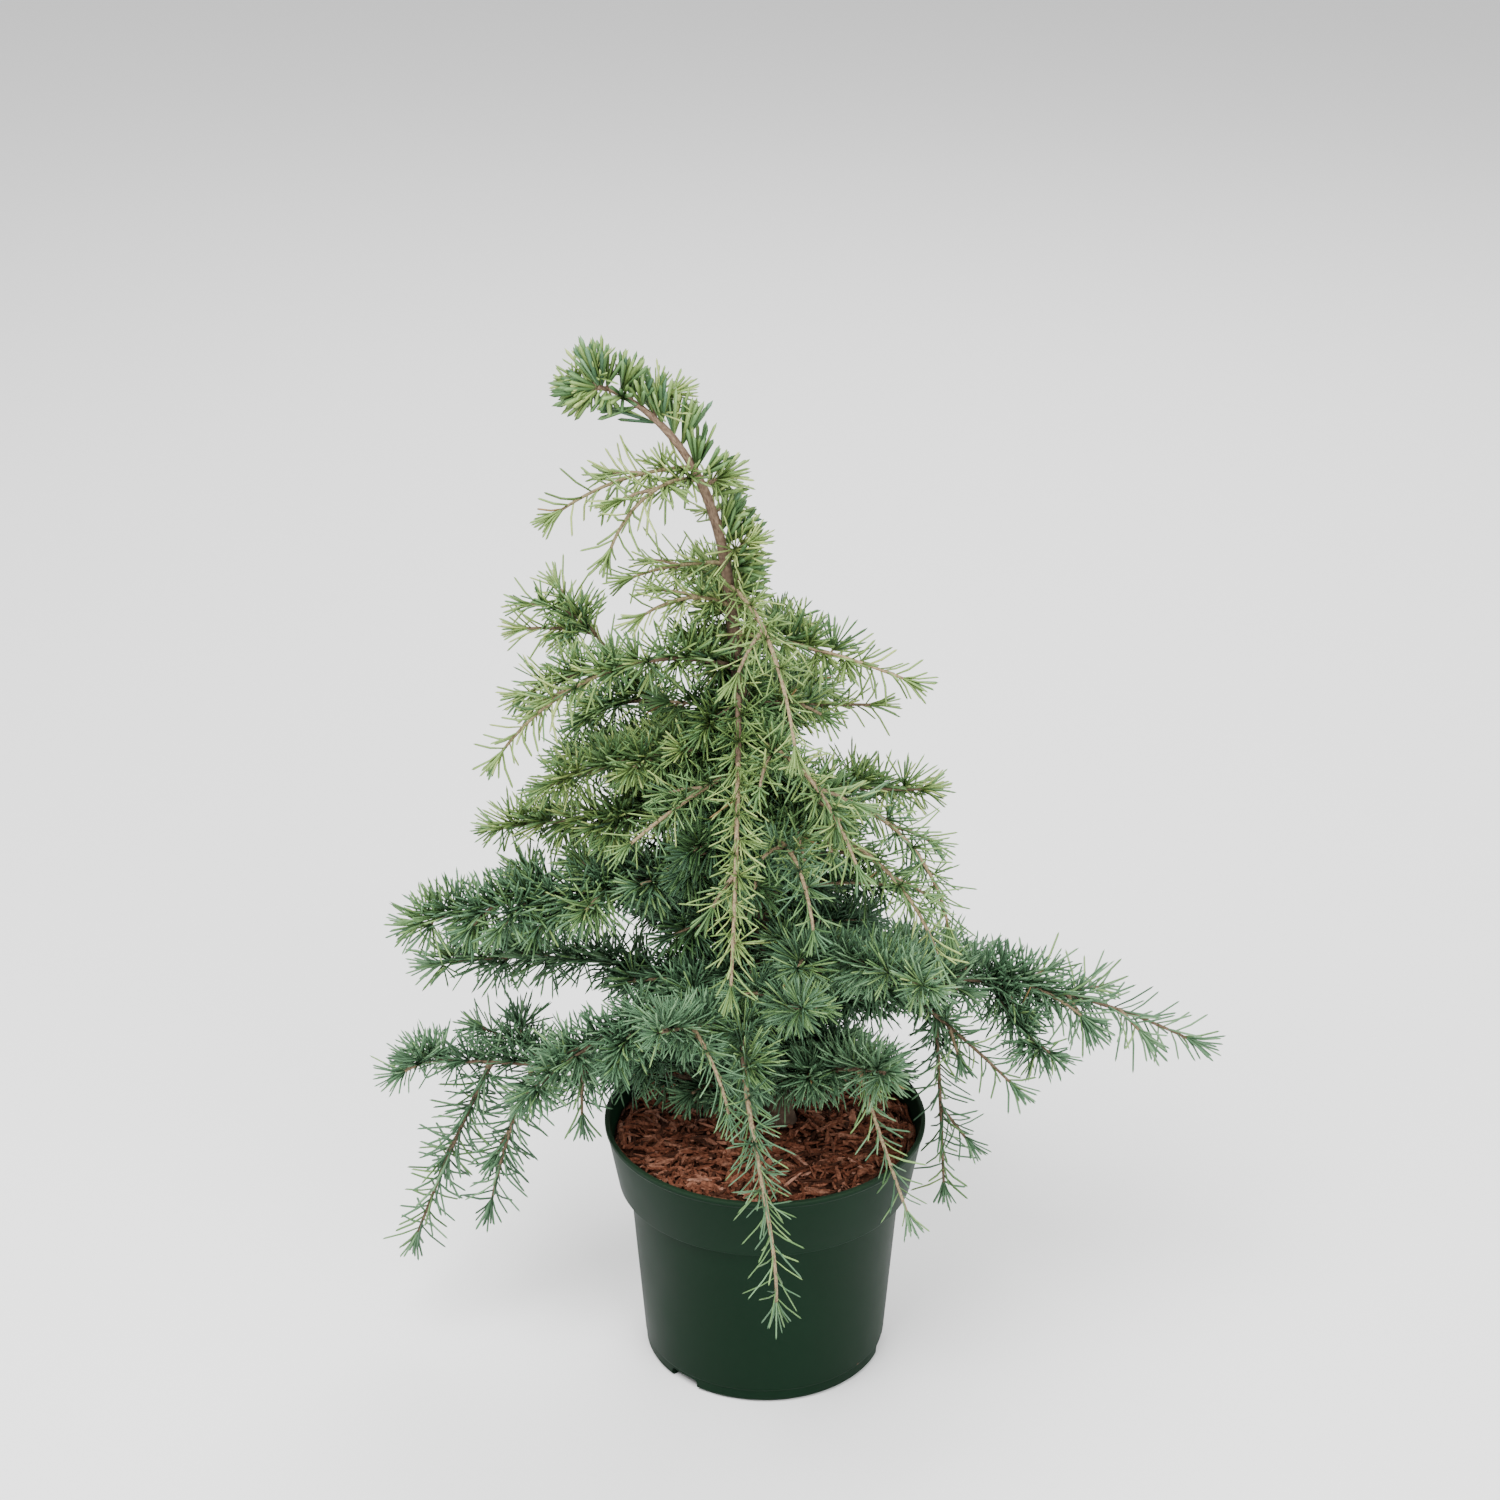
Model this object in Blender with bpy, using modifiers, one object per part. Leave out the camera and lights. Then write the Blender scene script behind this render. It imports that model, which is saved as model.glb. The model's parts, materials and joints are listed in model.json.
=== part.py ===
# Potted deodar cedar: a young weeping tree in a round nursery pot, as named solids in metres.
# +Z is up, +X is to the right, -Y is the front, and the origin is the middle of the flat underside.
import math
import random
from collections import namedtuple

import bmesh
import bpy
import numpy as np
from mathutils import Matrix, Vector

SEED = 41
GAP = 0.0003

# Pot: a thin moulded tub with a deep rim band that steps in to a tapering body
POT_HEIGHT = 0.190
POT_RIM_RADIUS = 0.115
POT_LIP_HEIGHT = 0.0035
POT_LIP_PROUD = 0.0012
POT_BAND_HEIGHT = 0.050
POT_BAND_FOOT_RADIUS = 0.1066
POT_BODY_RADIUS = 0.0986
POT_FOOT_RADIUS = 0.088
POT_FOOT_CHAMFER = 0.0025
POT_FOOT_LINE_HEIGHT = 0.011
POT_FOOT_LINE_PROUD = 0.0008
POT_WALL = 0.0022
POT_FLOOR = 0.0030
POT_STEPS = 44

# Drain notches through the edge of the base
NOTCH_COUNT = 3
NOTCH_FIRST_BEARING = 227.5
NOTCH_WIDTH = 0.025
NOTCH_HEIGHT = 0.008
NOTCH_DEPTH = 0.016

# Bark mulch that fills the pot, level round the trunk and a little lower at the wall
MULCH_TOP = 0.180
MULCH_LEVEL_RADIUS = 0.032
MULCH_EDGE_DROP = 0.004

# Trunk: a lean to the left from a flared foot, with a leader that nods over at the top
TRUNK_FOOT = (0.010, 0.010)
TRUNK_LENGTH = 0.582
TRUNK_UPRIGHT = 0.008
TRUNK_LEAN = 4.8
TRUNK_NOD_FROM = 0.645
TRUNK_NOD = 60.4
TRUNK_NOD_POWER = 2.0
TRUNK_RADIUS = 0.0068
TRUNK_TIP_RADIUS = 0.0016
TRUNK_TAPER = 0.85
FLARE = 0.0048
FLARE_HEIGHT = 0.010
TRUNK_STOPS = 22
TRUNK_STEPS_PER_STOP = 4
TRUNK_SIDES = 8
BOUGH_SIDES = 6

# Limbs thicken with their length and end in a thin tip
LIMB_ROOT_RADIUS = 0.0010
LIMB_RADIUS_PER_LENGTH = 0.0055
LIMB_TIP_RADIUS = 0.0008
LIMB_TAPER = 0.75
ROUTE_STEPS = 24
BEND_PER_STOP = 18.0

# A mass has a three-sided stem, never thinner than the roots of its needles. Its wood stops
# short of its reach, which the needles at its tip make up.
STEM_SIDES = 3
STEM_SWELL = 1.25
STEM_LEAST_RADIUS = 0.0019
TIP_REACH = 0.022

# Seeded side twigs, which bend back towards their limb's own bearing and droop
TWIG_FIRST = 0.12
TWIG_LAST = 0.78
TWIG_SPREAD = 48.0
TWIG_LENGTH_SHARE = 0.50
TWIG_LENGTH_LEAST = 0.045
TWIG_LENGTH_MOST = 0.090
TWIG_DROOP = 35.0
TWIG_BEND_BACK = 12.0
TWIG_LOWEST_LIFT = -55.0
TWIG_LOOK = 0.03
TWIG_CLEARANCE = 0.004
TWIG_FREE_FROM = 0.25
TWIG_FREE_PARTS = 4

# Needles: three-sided spikes, each standing for a small spray, one on each side of the stem in turn
NEEDLE_LENGTH = 0.029
NEEDLE_ROOT_RADIUS = 0.0009
NEEDLE_SPACING = 0.0092
NEEDLE_TILT = 52.0
NEEDLE_TILT_SPREAD = 8.0
NEEDLE_TURN_SPREAD = 12.0
NEEDLE_ROOT_SKIP = 0.006
NEEDLE_FREE_FROM = 0.30
FACE_FIRST_TURN = 30.0
FACE_TURN = 120.0
TIP_TILT = 26.0
TIP_SETBACK = 0.004

# A limb leaves the trunk at a height and heads along a bearing, 0 to the right and 90 to the
# back, turning by the given angle on its way. Its lift above the level falls evenly from rise
# to dip. The bough is the bare share of its length, and the rest is the stem of a mass.
Limb = namedtuple("Limb", "height bearing turn rise dip length bough twigs")
LIMBS = {
    "crest": Limb(0.720, 80, 0, 75, 60, 0.036, 0.0, 0),
    "crown_spur": Limb(0.672, 350, 0, 36, 28, 0.034, 0.0, 0),
    "crown_left": Limb(0.686, 195, 0, 5, -40, 0.115, 0.0, 1),
    "crown_hanging": Limb(0.677, 225, 0, 25, -80, 0.115, 0.0, 1),
    "upper_spur": Limb(0.622, 335, 0, 42, 20, 0.042, 0.0, 0),
    "upper_left": Limb(0.618, 175, 5, 0, -29, 0.085, 0.0, 1),
    "upper_left_front": Limb(0.585, 215, -5, 40, -40, 0.095, 0.0, 1),
    "rear_left": Limb(0.335, 145, 5, 70, 40, 0.243, 1.0, 0),
    "high_left": Limb(0.540, 205, -5, 30, -60, 0.210, 0.36, 1),
    "middle_left": Limb(0.475, 190, 0, 10, -25, 0.160, 0.0, 3),
    "middle_rear_left": Limb(0.455, 175, -5, -21, -8, 0.205, 0.0, 3),
    "long_left": Limb(0.380, 180, 0, 0, -20, 0.265, 0.40, 2),
    "long_low_left": Limb(0.275, 160, 25, 15, -10, 0.265, 0.35, 1),
    "front_low_left": Limb(0.310, 210, -10, 0, -40, 0.220, 0.0, 3),
    "lowest_left": Limb(0.205, 180, 0, 10, 0, 0.285, 0.80, 2),
    "front_left": Limb(0.270, 242, 0, 23, 22, 0.195, 0.60, 1),
    "long_front": Limb(0.535, 271, -5, -20, -50, 0.260, 0.30, 1),
    "short_front": Limb(0.467, 235, -5, 5, -16, 0.150, 0.0, 1),
    "front_right": Limb(0.400, 290, -15, 45, -35, 0.205, 0.0, 1),
    "middle_front": Limb(0.295, 278, 0, 15, 35, 0.200, 0.0, 2),
    "hanging_front": Limb(0.280, 250, 58, 35, -100, 0.320, 0.40, 0),
    "crown_front_right": Limb(0.600, 290, -5, 15, -68, 0.182, 0.0, 1),
    "upper_right": Limb(0.567, 340, 5, 0, -20, 0.143, 0.0, 0),
    "upper_rear_right": Limb(0.515, 355, 5, 0, 0, 0.110, 0.0, 1),
    "middle_right": Limb(0.462, 0, 5, -15, 3, 0.145, 0.0, 2),
    "middle_front_right": Limb(0.485, 300, -5, 25, -50, 0.190, 0.0, 2),
    "arching_right": Limb(0.435, 345, -30, 35, -90, 0.215, 0.0, 2),
    "arching_front_right": Limb(0.415, 325, -10, 35, -75, 0.210, 0.0, 2),
    "front_low_right": Limb(0.310, 310, -5, 30, 5, 0.210, 0.0, 2),
    "long_right": Limb(0.280, 15, -20, 9, -30, 0.340, 0.46, 3),
    "rim_right": Limb(0.210, 305, 5, 40, 15, 0.165, 0.0, 2),
    "back_low_left": Limb(0.300, 122, 12, 20, -30, 0.260, 0.35, 3),
    "back_low_right": Limb(0.250, 50, -10, 20, -35, 0.250, 0.0, 4),
    "back_low": Limb(0.320, 84, 10, 15, -45, 0.250, 0.0, 4),
    "back_middle_left": Limb(0.425, 112, -8, 15, -45, 0.200, 0.0, 3),
    "back_middle_right": Limb(0.480, 68, 10, 20, -40, 0.165, 0.0, 3),
    "back_upper_right": Limb(0.545, 62, 0, 15, -40, 0.140, 0.0, 2),
    "back_upper": Limb(0.580, 98, 0, 20, -45, 0.130, 0.0, 2),
    "back_high": Limb(0.638, 98, 0, 20, -50, 0.085, 0.0, 1),
}

# A shoot starts at a share of its parent's length. A fused one belongs to its parent's mass, and
# any other is a mass of its own, seated on its parent's bough.
Shoot = namedtuple("Shoot", "parent share bearing turn rise dip length fused")
SHOOTS = {
    "leader": Shoot("trunk", 1.0, 190, 0, 8, -12, 0.036, False),
    "leader_upright": Shoot("leader", 0.24, 110, 0, 78, 78, 0.032, True),
    "crest_lower": Shoot("crest", 0.30, 5, 0, 30, 15, 0.032, True),
    "rear_left_tip": Shoot("rear_left", 1.0, 165, 5, 55, -35, 0.075, False),
    "rear_left_fork": Shoot("rear_left_tip", 0.04, 178, 0, 10, -10, 0.068, True),
    "rear_left_outer": Shoot("rear_left", 0.76, 185, 0, 5, -55, 0.070, False),
    "rear_left_inner": Shoot("rear_left", 0.64, 175, 0, -10, -30, 0.100, False),
    "high_left_side": Shoot("high_left", 0.40, 170, 5, -10, -35, 0.095, True),
    "long_left_upper": Shoot("long_left", 0.41, 145, 5, 50, 10, 0.045, True),
    "long_left_lower": Shoot("long_left", 0.52, 235, -5, -40, -15, 0.055, True),
    "lowest_left_outer": Shoot("lowest_left", 0.73, 190, 0, -65, -70, 0.172, False),
    "lowest_left_inner": Shoot("lowest_left", 0.62, 220, 5, -60, -75, 0.128, False),
    "lowest_left_upper": Shoot("lowest_left", 0.575, 150, 10, 25, 0, 0.082, False),
    "front_low_left_hanging": Shoot("front_low_left", 0.66, 200, 0, -80, -95, 0.075, True),
    "front_left_hanging": Shoot("front_left", 0.64, 285, 30, 15, -100, 0.100, True),
    "long_right_side": Shoot("long_right", 0.48, 310, 0, -45, 5, 0.095, True),
    "long_right_front": Shoot("long_right", 0.26, 320, 0, -15, -30, 0.140, False),
    "long_right_hanging": Shoot("long_right", 0.36, 280, 5, -70, -80, 0.175, False),
    "long_right_hanging_side": Shoot("long_right_hanging", 0.55, 330, 0, -40, -50, 0.050, True),
    "rim_right_hanging": Shoot("rim_right", 0.68, 295, 25, -50, -65, 0.125, True),
}

# Plain colours of the kinds of piece: base colour, roughness
POT_GREEN = ((0.020, 0.050, 0.028), 0.42)
MULCH_BROWN = ((0.180, 0.050, 0.022), 0.90)
BARK_BROWN = ((0.110, 0.075, 0.050), 0.85)
LOW_GREEN = (0.055, 0.150, 0.095)
HIGH_GREEN = (0.260, 0.330, 0.075)
NEEDLE_ROUGHNESS = 0.60


def clearScene():
    for thing in list(bpy.data.objects):
        bpy.data.objects.remove(thing, do_unlink=True)


def makeCollection(name):
    collection = bpy.data.collections.new(name)
    bpy.context.scene.collection.children.link(collection)
    return collection


def makeMaterial(name, colour, roughness):
    material = bpy.data.materials.new(name)
    material.use_nodes = True
    shader = material.node_tree.nodes["Principled BSDF"]
    shader.inputs["Base Color"].default_value = (*colour, 1.0)
    shader.inputs["Roughness"].default_value = roughness
    shader.inputs["Metallic"].default_value = 0.0
    return material


def addObject(name, mesh, collection):
    thing = bpy.data.objects.new(name, mesh)
    collection.objects.link(thing)
    return thing


def heading(bearing, lift):
    flat = math.cos(math.radians(lift))
    return Vector((
        flat * math.cos(math.radians(bearing)),
        flat * math.sin(math.radians(bearing)),
        math.sin(math.radians(lift)),
    ))


# Routes of the trunk, the limbs and the twigs

def route(start, bearing, turn, rise, dip, length):
    points = [Vector(start)]
    for i in range(ROUTE_STEPS):
        share = (i + 0.5) / ROUTE_STEPS
        step = heading(bearing + turn * share, rise + (dip - rise) * share)
        points.append(points[-1] + step * (length / ROUTE_STEPS))
    return points


def pointAt(points, share):
    place = min(max(share, 0.0), 1.0) * (len(points) - 1)
    i = min(int(place), len(points) - 2)
    return points[i].lerp(points[i + 1], place - i)


def cut(points, first, last):
    # A stop for each bend of a few degrees, and at least the two ends
    steps = [b - a for a, b in zip(points, points[1:])]
    bend = sum(math.degrees(a.angle(b)) for a, b in zip(steps, steps[1:])) * (last - first)
    stops = max(1, math.ceil(bend / BEND_PER_STOP))
    return [pointAt(points, first + (last - first) * i / stops) for i in range(stops + 1)]


def woodAt(wood, share):
    # A place on the straight stretches of a limb's wood, which is its bough and its stem
    for first, last, stops in wood:
        if share <= last:
            break
    return pointAt(stops, (share - first) / (last - first))


def routeLength(points):
    return sum((b - a).length for a, b in zip(points, points[1:]))


def trunkRoute():
    foot = Vector((*TRUNK_FOOT, MULCH_TOP + GAP))
    points = [foot, foot + Vector((0.0, 0.0, TRUNK_UPRIGHT))]
    steps = TRUNK_STEPS_PER_STOP * TRUNK_STOPS
    for i in range(steps):
        share = (i + 0.5) / steps
        nod = max(0.0, (share - TRUNK_NOD_FROM) / (1.0 - TRUNK_NOD_FROM)) ** TRUNK_NOD_POWER
        lean = TRUNK_LEAN + TRUNK_NOD * nod
        points.append(points[-1] + heading(180.0, 90.0 - lean) * (TRUNK_LENGTH / steps))
    return points


def trunkRadius(share, height):
    taper = TRUNK_RADIUS * (1.0 - share) ** TRUNK_TAPER + TRUNK_TIP_RADIUS
    return taper + FLARE * math.exp(-height / FLARE_HEIGHT)


def trunkShareAtHeight(points, height):
    for i, (low, high) in enumerate(zip(points, points[1:])):
        if high.z >= height:
            return (i + (height - low.z) / (high.z - low.z)) / (len(points) - 1)
    return 1.0


def limbRadius(length, share):
    root = LIMB_ROOT_RADIUS + LIMB_RADIUS_PER_LENGTH * length
    return (root - LIMB_TIP_RADIUS) * (1.0 - share) ** LIMB_TAPER + LIMB_TIP_RADIUS


def stemRadius(length, share):
    return max(STEM_LEAST_RADIUS, STEM_SWELL * limbRadius(length, share))


def stemEnd(length):
    return 1.0 - TIP_REACH / length


# An axis is one stem, shoot or twig of a mass: its stops, its radii and the whole limb's length
Axis = namedtuple("Axis", "points radii")


def axisOf(points, length, first, last):
    stops = cut(points, first, last)
    shares = [first + (last - first) * i / (len(stops) - 1) for i in range(len(stops))]
    return Axis(stops, [stemRadius(length, share) for share in shares])


def sideTwigs(wood, length, bough, count, rng):
    # Side twigs leave to the left and right in turn, shorter towards the tip, and droop
    twigs = []
    for i in range(count):
        reach = (i + 0.5) / count + rng.uniform(-0.12, 0.12)
        share = bough + (stemEnd(length) - bough) * (TWIG_FIRST + (TWIG_LAST - TWIG_FIRST) * reach)
        start = woodAt(wood, share)
        along = woodAt(wood, share + TWIG_LOOK) - woodAt(wood, share - TWIG_LOOK)
        bearing = math.degrees(math.atan2(along.y, along.x))
        lift = math.degrees(math.asin(along.normalized().z))
        side = 1.0 if i % 2 else -1.0
        spread = TWIG_SPREAD + rng.uniform(-10.0, 10.0)
        size = TWIG_LENGTH_SHARE * length * (1.0 - share) * rng.uniform(0.8, 1.2)
        size = min(max(size, TWIG_LENGTH_LEAST), TWIG_LENGTH_MOST)
        rise = max(lift, TWIG_LOWEST_LIFT) + rng.uniform(0.0, 14.0)
        twig = route(start, bearing + side * spread, -side * TWIG_BEND_BACK, rise, rise - TWIG_DROOP, size)
        twigs.append((twig, size))
    return twigs


# Clearances, as distances between straight lengths

def segmentGaps(start, end, starts, ends):
    own = end - start
    others = ends - starts
    apart = start - starts
    ownSquare = max(float(own @ own), 1e-12)
    otherSquare = np.maximum((others * others).sum(axis=1), 1e-12)
    along = others @ own
    apartOwn = apart @ own
    apartOther = (apart * others).sum(axis=1)
    spread = ownSquare * otherSquare - along * along
    safe = np.where(spread > 1e-14, spread, 1.0)
    ownShare = np.where(spread > 1e-14, (along * apartOther - apartOwn * otherSquare) / safe, 0.0)
    ownShare = np.clip(ownShare, 0.0, 1.0)
    otherShare = np.clip((along * ownShare + apartOther) / otherSquare, 0.0, 1.0)
    ownShare = np.clip((along * otherShare - apartOwn) / ownSquare, 0.0, 1.0)
    near = start + ownShare[:, None] * own
    far = starts + otherShare[:, None] * others
    return np.linalg.norm(near - far, axis=1)


class Neighbours:
    # The straight lengths that stand so far, each with its radius and the name of its owner

    def __init__(self):
        self.rows = []
        self.owners = []

    def addTube(self, owner, points, radii):
        for i in range(len(points) - 1):
            self.rows.append((*points[i], *points[i + 1], max(radii[i], radii[i + 1])))
            self.owners.append(owner)

    def gap(self, start, end, radius, skip=()):
        table = np.array(self.rows)
        keep = np.array([owner not in skip for owner in self.owners])
        if not keep.any():
            return 1.0
        table = table[keep]
        apart = segmentGaps(np.array(start), np.array(end), table[:, 0:3], table[:, 3:6])
        return float((apart - table[:, 6]).min()) - radius

    def nearer(self, point, owner):
        # True where the point lies nearer to this owner's stems than to any other's
        table = np.array(self.rows)
        own = np.array([name == owner for name in self.owners])
        place = np.array(point)
        apart = segmentGaps(place, place + 1e-6, table[:, 0:3], table[:, 3:6])
        return apart[own].min() < apart[~own].min()


def potRadiusAt(height):
    bandFoot = POT_HEIGHT - POT_BAND_HEIGHT
    if height >= bandFoot:
        share = (height - bandFoot) / POT_BAND_HEIGHT
        return POT_BAND_FOOT_RADIUS + (POT_RIM_RADIUS - POT_BAND_FOOT_RADIUS) * share + POT_LIP_PROUD
    return POT_FOOT_RADIUS + (POT_BODY_RADIUS - POT_FOOT_RADIUS) * height / bandFoot


def clearOfPot(point, radius):
    margin = radius + 3.0 * GAP
    across = math.hypot(point.x, point.y)
    if point.z < margin:
        return False
    if point.z > POT_HEIGHT + margin:
        return True
    if across > potRadiusAt(point.z) + margin:
        return True
    inside = POT_RIM_RADIUS - 2.0 * POT_WALL - margin
    return across < inside and point.z > MULCH_TOP + margin


def stretchClearOfPot(start, end, radius):
    return all(clearOfPot(start.lerp(end, i / 12.0), radius) for i in range(13))


# Growth of the masses: each holds its axes, then its needles

class Mass:
    def __init__(self, name, parent, axes, seat):
        self.name = name
        self.parent = parent
        self.axes = axes
        self.seat = seat
        self.needles = []


def growStems():
    trunk = trunkRoute()
    woods = {"trunk": [(0.0, 1.0, trunk)]}
    boughs = {}
    masses = {}
    for name, limb in LIMBS.items():
        start = pointAt(trunk, trunkShareAtHeight(trunk, limb.height))
        points = route(start, limb.bearing, limb.turn, limb.rise, limb.dip, limb.length)
        woods[name] = []
        if limb.bough > 0.0:
            boughs[name] = boughTube(points, limb.length, limb.bough)
            woods[name].append((0.0, limb.bough, boughs[name][0]))
        if limb.bough < 1.0:
            end = stemEnd(limb.length)
            axis = axisOf(points, limb.length, limb.bough, end)
            woods[name].append((limb.bough, end, axis.points))
            parent = name if limb.bough > 0.0 else "trunk"
            masses[name] = Mass(name, parent, [axis], "tip" if limb.bough > 0.0 else "side")
    for name, shoot in SHOOTS.items():
        start = woodAt(woods[shoot.parent], shoot.share)
        points = route(start, shoot.bearing, shoot.turn, shoot.rise, shoot.dip, shoot.length)
        end = stemEnd(shoot.length)
        axis = axisOf(points, shoot.length, 0.0, end)
        woods[name] = [(0.0, end, axis.points)]
        if shoot.fused:
            masses[shoot.parent].axes.append(axis)
        else:
            masses[name] = Mass(name, shoot.parent, [axis], "tip" if shoot.share >= 1.0 else "side")
    return trunk, woods, boughs, masses


def boughTube(points, length, share):
    stops = cut(points, 0.0, share)
    radii = [limbRadius(length, share * i / (len(stops) - 1)) for i in range(len(stops))]
    return stops, radii


def trunkTube(points):
    # The foot and its upright length stay, and the rest is thinned to even stops
    rest = points[1:]
    stops = [points[0]] + [pointAt(rest, i / TRUNK_STOPS) for i in range(TRUNK_STOPS + 1)]
    radii = []
    for i, stop in enumerate(stops):
        share = max(0.0, (i - 1) / TRUNK_STOPS)
        radii.append(trunkRadius(share, stop.z - points[0].z))
    return stops, radii


def growTwigs(woods, masses, neighbours):
    for index, (name, mass) in enumerate(masses.items()):
        limb = LIMBS.get(name)
        rng = random.Random(SEED + index)
        count = limb.twigs if limb else 1
        bough = limb.bough if limb else 0.0
        length = limb.length if limb else SHOOTS[name].length
        for twig, size in sideTwigs(woods[name], length, bough, count, rng):
            axis = axisOf(twig, size, 0.0, stemEnd(size))
            step = (stemEnd(size) - TWIG_FREE_FROM) / TWIG_FREE_PARTS
            outer = [pointAt(twig, TWIG_FREE_FROM + step * i) for i in range(TWIG_FREE_PARTS + 1)]
            free = all(
                neighbours.gap(a, b, axis.radii[0], (name,)) > TWIG_CLEARANCE
                and stretchClearOfPot(a, b, axis.radii[0])
                for a, b in zip(outer, outer[1:])
            )
            if free:
                mass.axes.append(axis)
                neighbours.addTube(name, axis.points, axis.radii)


def sectionTurns(points):
    # How the three-sided section of a stem is turned along each of its straight stretches
    steps = [(b - a).normalized() for a, b in zip(points, points[1:])]
    ahead = [steps[0]] + [(a + b).normalized() for a, b in zip(steps, steps[1:])]
    turn = ahead[0].to_track_quat("Z", "Y")
    turns = []
    for i, step in enumerate(steps):
        if i:
            turn = ahead[i - 1].rotation_difference(ahead[i]) @ turn
        turns.append(ahead[i].rotation_difference(step) @ turn)
    return turns


def needleHeading(section, turn, tilt):
    flat = math.sin(math.radians(tilt))
    around = Vector((flat * math.cos(math.radians(turn)), flat * math.sin(math.radians(turn)), 0.0))
    return section @ (around + Vector((0.0, 0.0, math.cos(math.radians(tilt)))))


def needleRoots(axis, rng):
    # Each needle leaves the middle of one of the stem's three sides, the next side each time
    length = routeLength(axis.points)
    side = rng.randrange(3)
    place = NEEDLE_ROOT_SKIP
    while place < length - TIP_SETBACK - NEEDLE_SPACING / 2.0:
        side += 1
        turn = FACE_FIRST_TURN + FACE_TURN * side + rng.uniform(-NEEDLE_TURN_SPREAD, NEEDLE_TURN_SPREAD)
        tilt = NEEDLE_TILT + rng.uniform(-NEEDLE_TILT_SPREAD, NEEDLE_TILT_SPREAD)
        yield place / length, turn, tilt, rng.uniform(0.86, 1.05)
        place += NEEDLE_SPACING
    for i in range(STEM_SIDES):
        yield 1.0 - TIP_SETBACK / length, FACE_FIRST_TURN + FACE_TURN * i, TIP_TILT, rng.uniform(0.88, 1.0)
    yield 1.0 - TIP_SETBACK / length, 0.0, 0.0, 0.9


def growNeedles(masses, neighbours):
    stems = Neighbours()
    for name, mass in masses.items():
        for axis in mass.axes:
            stems.addTube(name, axis.points, axis.radii)
    for index, (name, mass) in enumerate(masses.items()):
        rng = random.Random(SEED + 500 + index)
        for axis in mass.axes:
            sections = sectionTurns(axis.points)
            for share, turn, tilt, size in needleRoots(axis, rng):
                root = pointAt(axis.points, share)
                section = sections[min(int(share * len(sections)), len(sections) - 1)]
                ahead = needleHeading(section, turn, tilt)
                tip = root + ahead * (NEEDLE_LENGTH * size)
                if needleFits(root, tip, name, neighbours, stems):
                    mass.needles.append((root, tip))
                    neighbours.addTube(name, [root, tip], [NEEDLE_ROOT_RADIUS] * 2)


def needleFits(root, tip, name, neighbours, stems):
    if not stems.nearer(tip, name):
        return False
    if not stretchClearOfPot(root, tip, NEEDLE_ROOT_RADIUS):
        return False
    if neighbours.gap(root, tip, NEEDLE_ROOT_RADIUS, (name,)) < 2.0 * GAP:
        return False
    # Within its own mass a needle starts in the stem, so only its outer part has to be free
    others = Neighbours()
    others.rows = [row for row, owner in zip(neighbours.rows, neighbours.owners) if owner == name]
    others.owners = [name] * len(others.rows)
    freePart = root.lerp(tip, NEEDLE_FREE_FROM)
    return others.gap(freePart, tip, NEEDLE_ROOT_RADIUS) > GAP


# Solids

def weldedMesh(thing):
    bpy.context.view_layer.update()
    evaluated = thing.evaluated_get(bpy.context.evaluated_depsgraph_get())
    mesh = bpy.data.meshes.new_from_object(evaluated)
    bm = bmesh.new()
    bm.from_mesh(mesh)
    bmesh.ops.remove_doubles(bm, verts=bm.verts, dist=1e-7)
    bmesh.ops.recalc_face_normals(bm, faces=bm.faces)
    bm.to_mesh(mesh)
    bm.free()
    return mesh


def makeTube(name, points, radii, collection, sides):
    curve = bpy.data.curves.new(name, "CURVE")
    curve.dimensions = "3D"
    curve.twist_mode = "MINIMUM"
    curve.use_fill_caps = True
    guide = None
    if sides == STEM_SIDES:
        guide = triangleGuide(collection)
        curve.bevel_mode = "OBJECT"
        curve.bevel_object = guide
    else:
        curve.bevel_depth = 1.0
        curve.bevel_resolution = (sides - 4) // 2
    spline = curve.splines.new("POLY")
    spline.points.add(len(points) - 1)
    for stop, point, radius in zip(spline.points, points, radii):
        stop.co = (*point, 1.0)
        stop.radius = radius
    thing = addObject(name + "_curve", curve, collection)
    mesh = weldedMesh(thing)
    bpy.data.objects.remove(thing, do_unlink=True)
    if guide:
        bpy.data.objects.remove(guide, do_unlink=True)
    mesh.name = name
    return addObject(name, mesh, collection)


def triangleGuide(collection):
    outline = bpy.data.curves.new("triangle", "CURVE")
    outline.dimensions = "2D"
    spline = outline.splines.new("POLY")
    spline.points.add(2)
    for i, point in enumerate(spline.points):
        turn = math.radians(90.0 - 120.0 * i)
        point.co = (math.cos(turn), math.sin(turn), 0.0, 1.0)
    spline.use_cyclic_u = True
    guide = addObject("triangle", outline, collection)
    guide.hide_render = True
    return guide


def makeNeedle(root, tip, collection):
    mesh = bpy.data.meshes.new("needle")
    bm = bmesh.new()
    length = (tip - root).length
    bmesh.ops.create_cone(
        bm, cap_ends=True, segments=3, radius1=NEEDLE_ROOT_RADIUS, radius2=0.0, depth=length
    )
    bmesh.ops.translate(bm, verts=bm.verts, vec=(0.0, 0.0, length / 2.0))
    turn = (tip - root).to_track_quat("Z", "Y").to_matrix().to_4x4()
    bmesh.ops.transform(bm, matrix=Matrix.Translation(root) @ turn, verts=bm.verts)
    bm.to_mesh(mesh)
    bm.free()
    return addObject("needle", mesh, collection)


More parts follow.
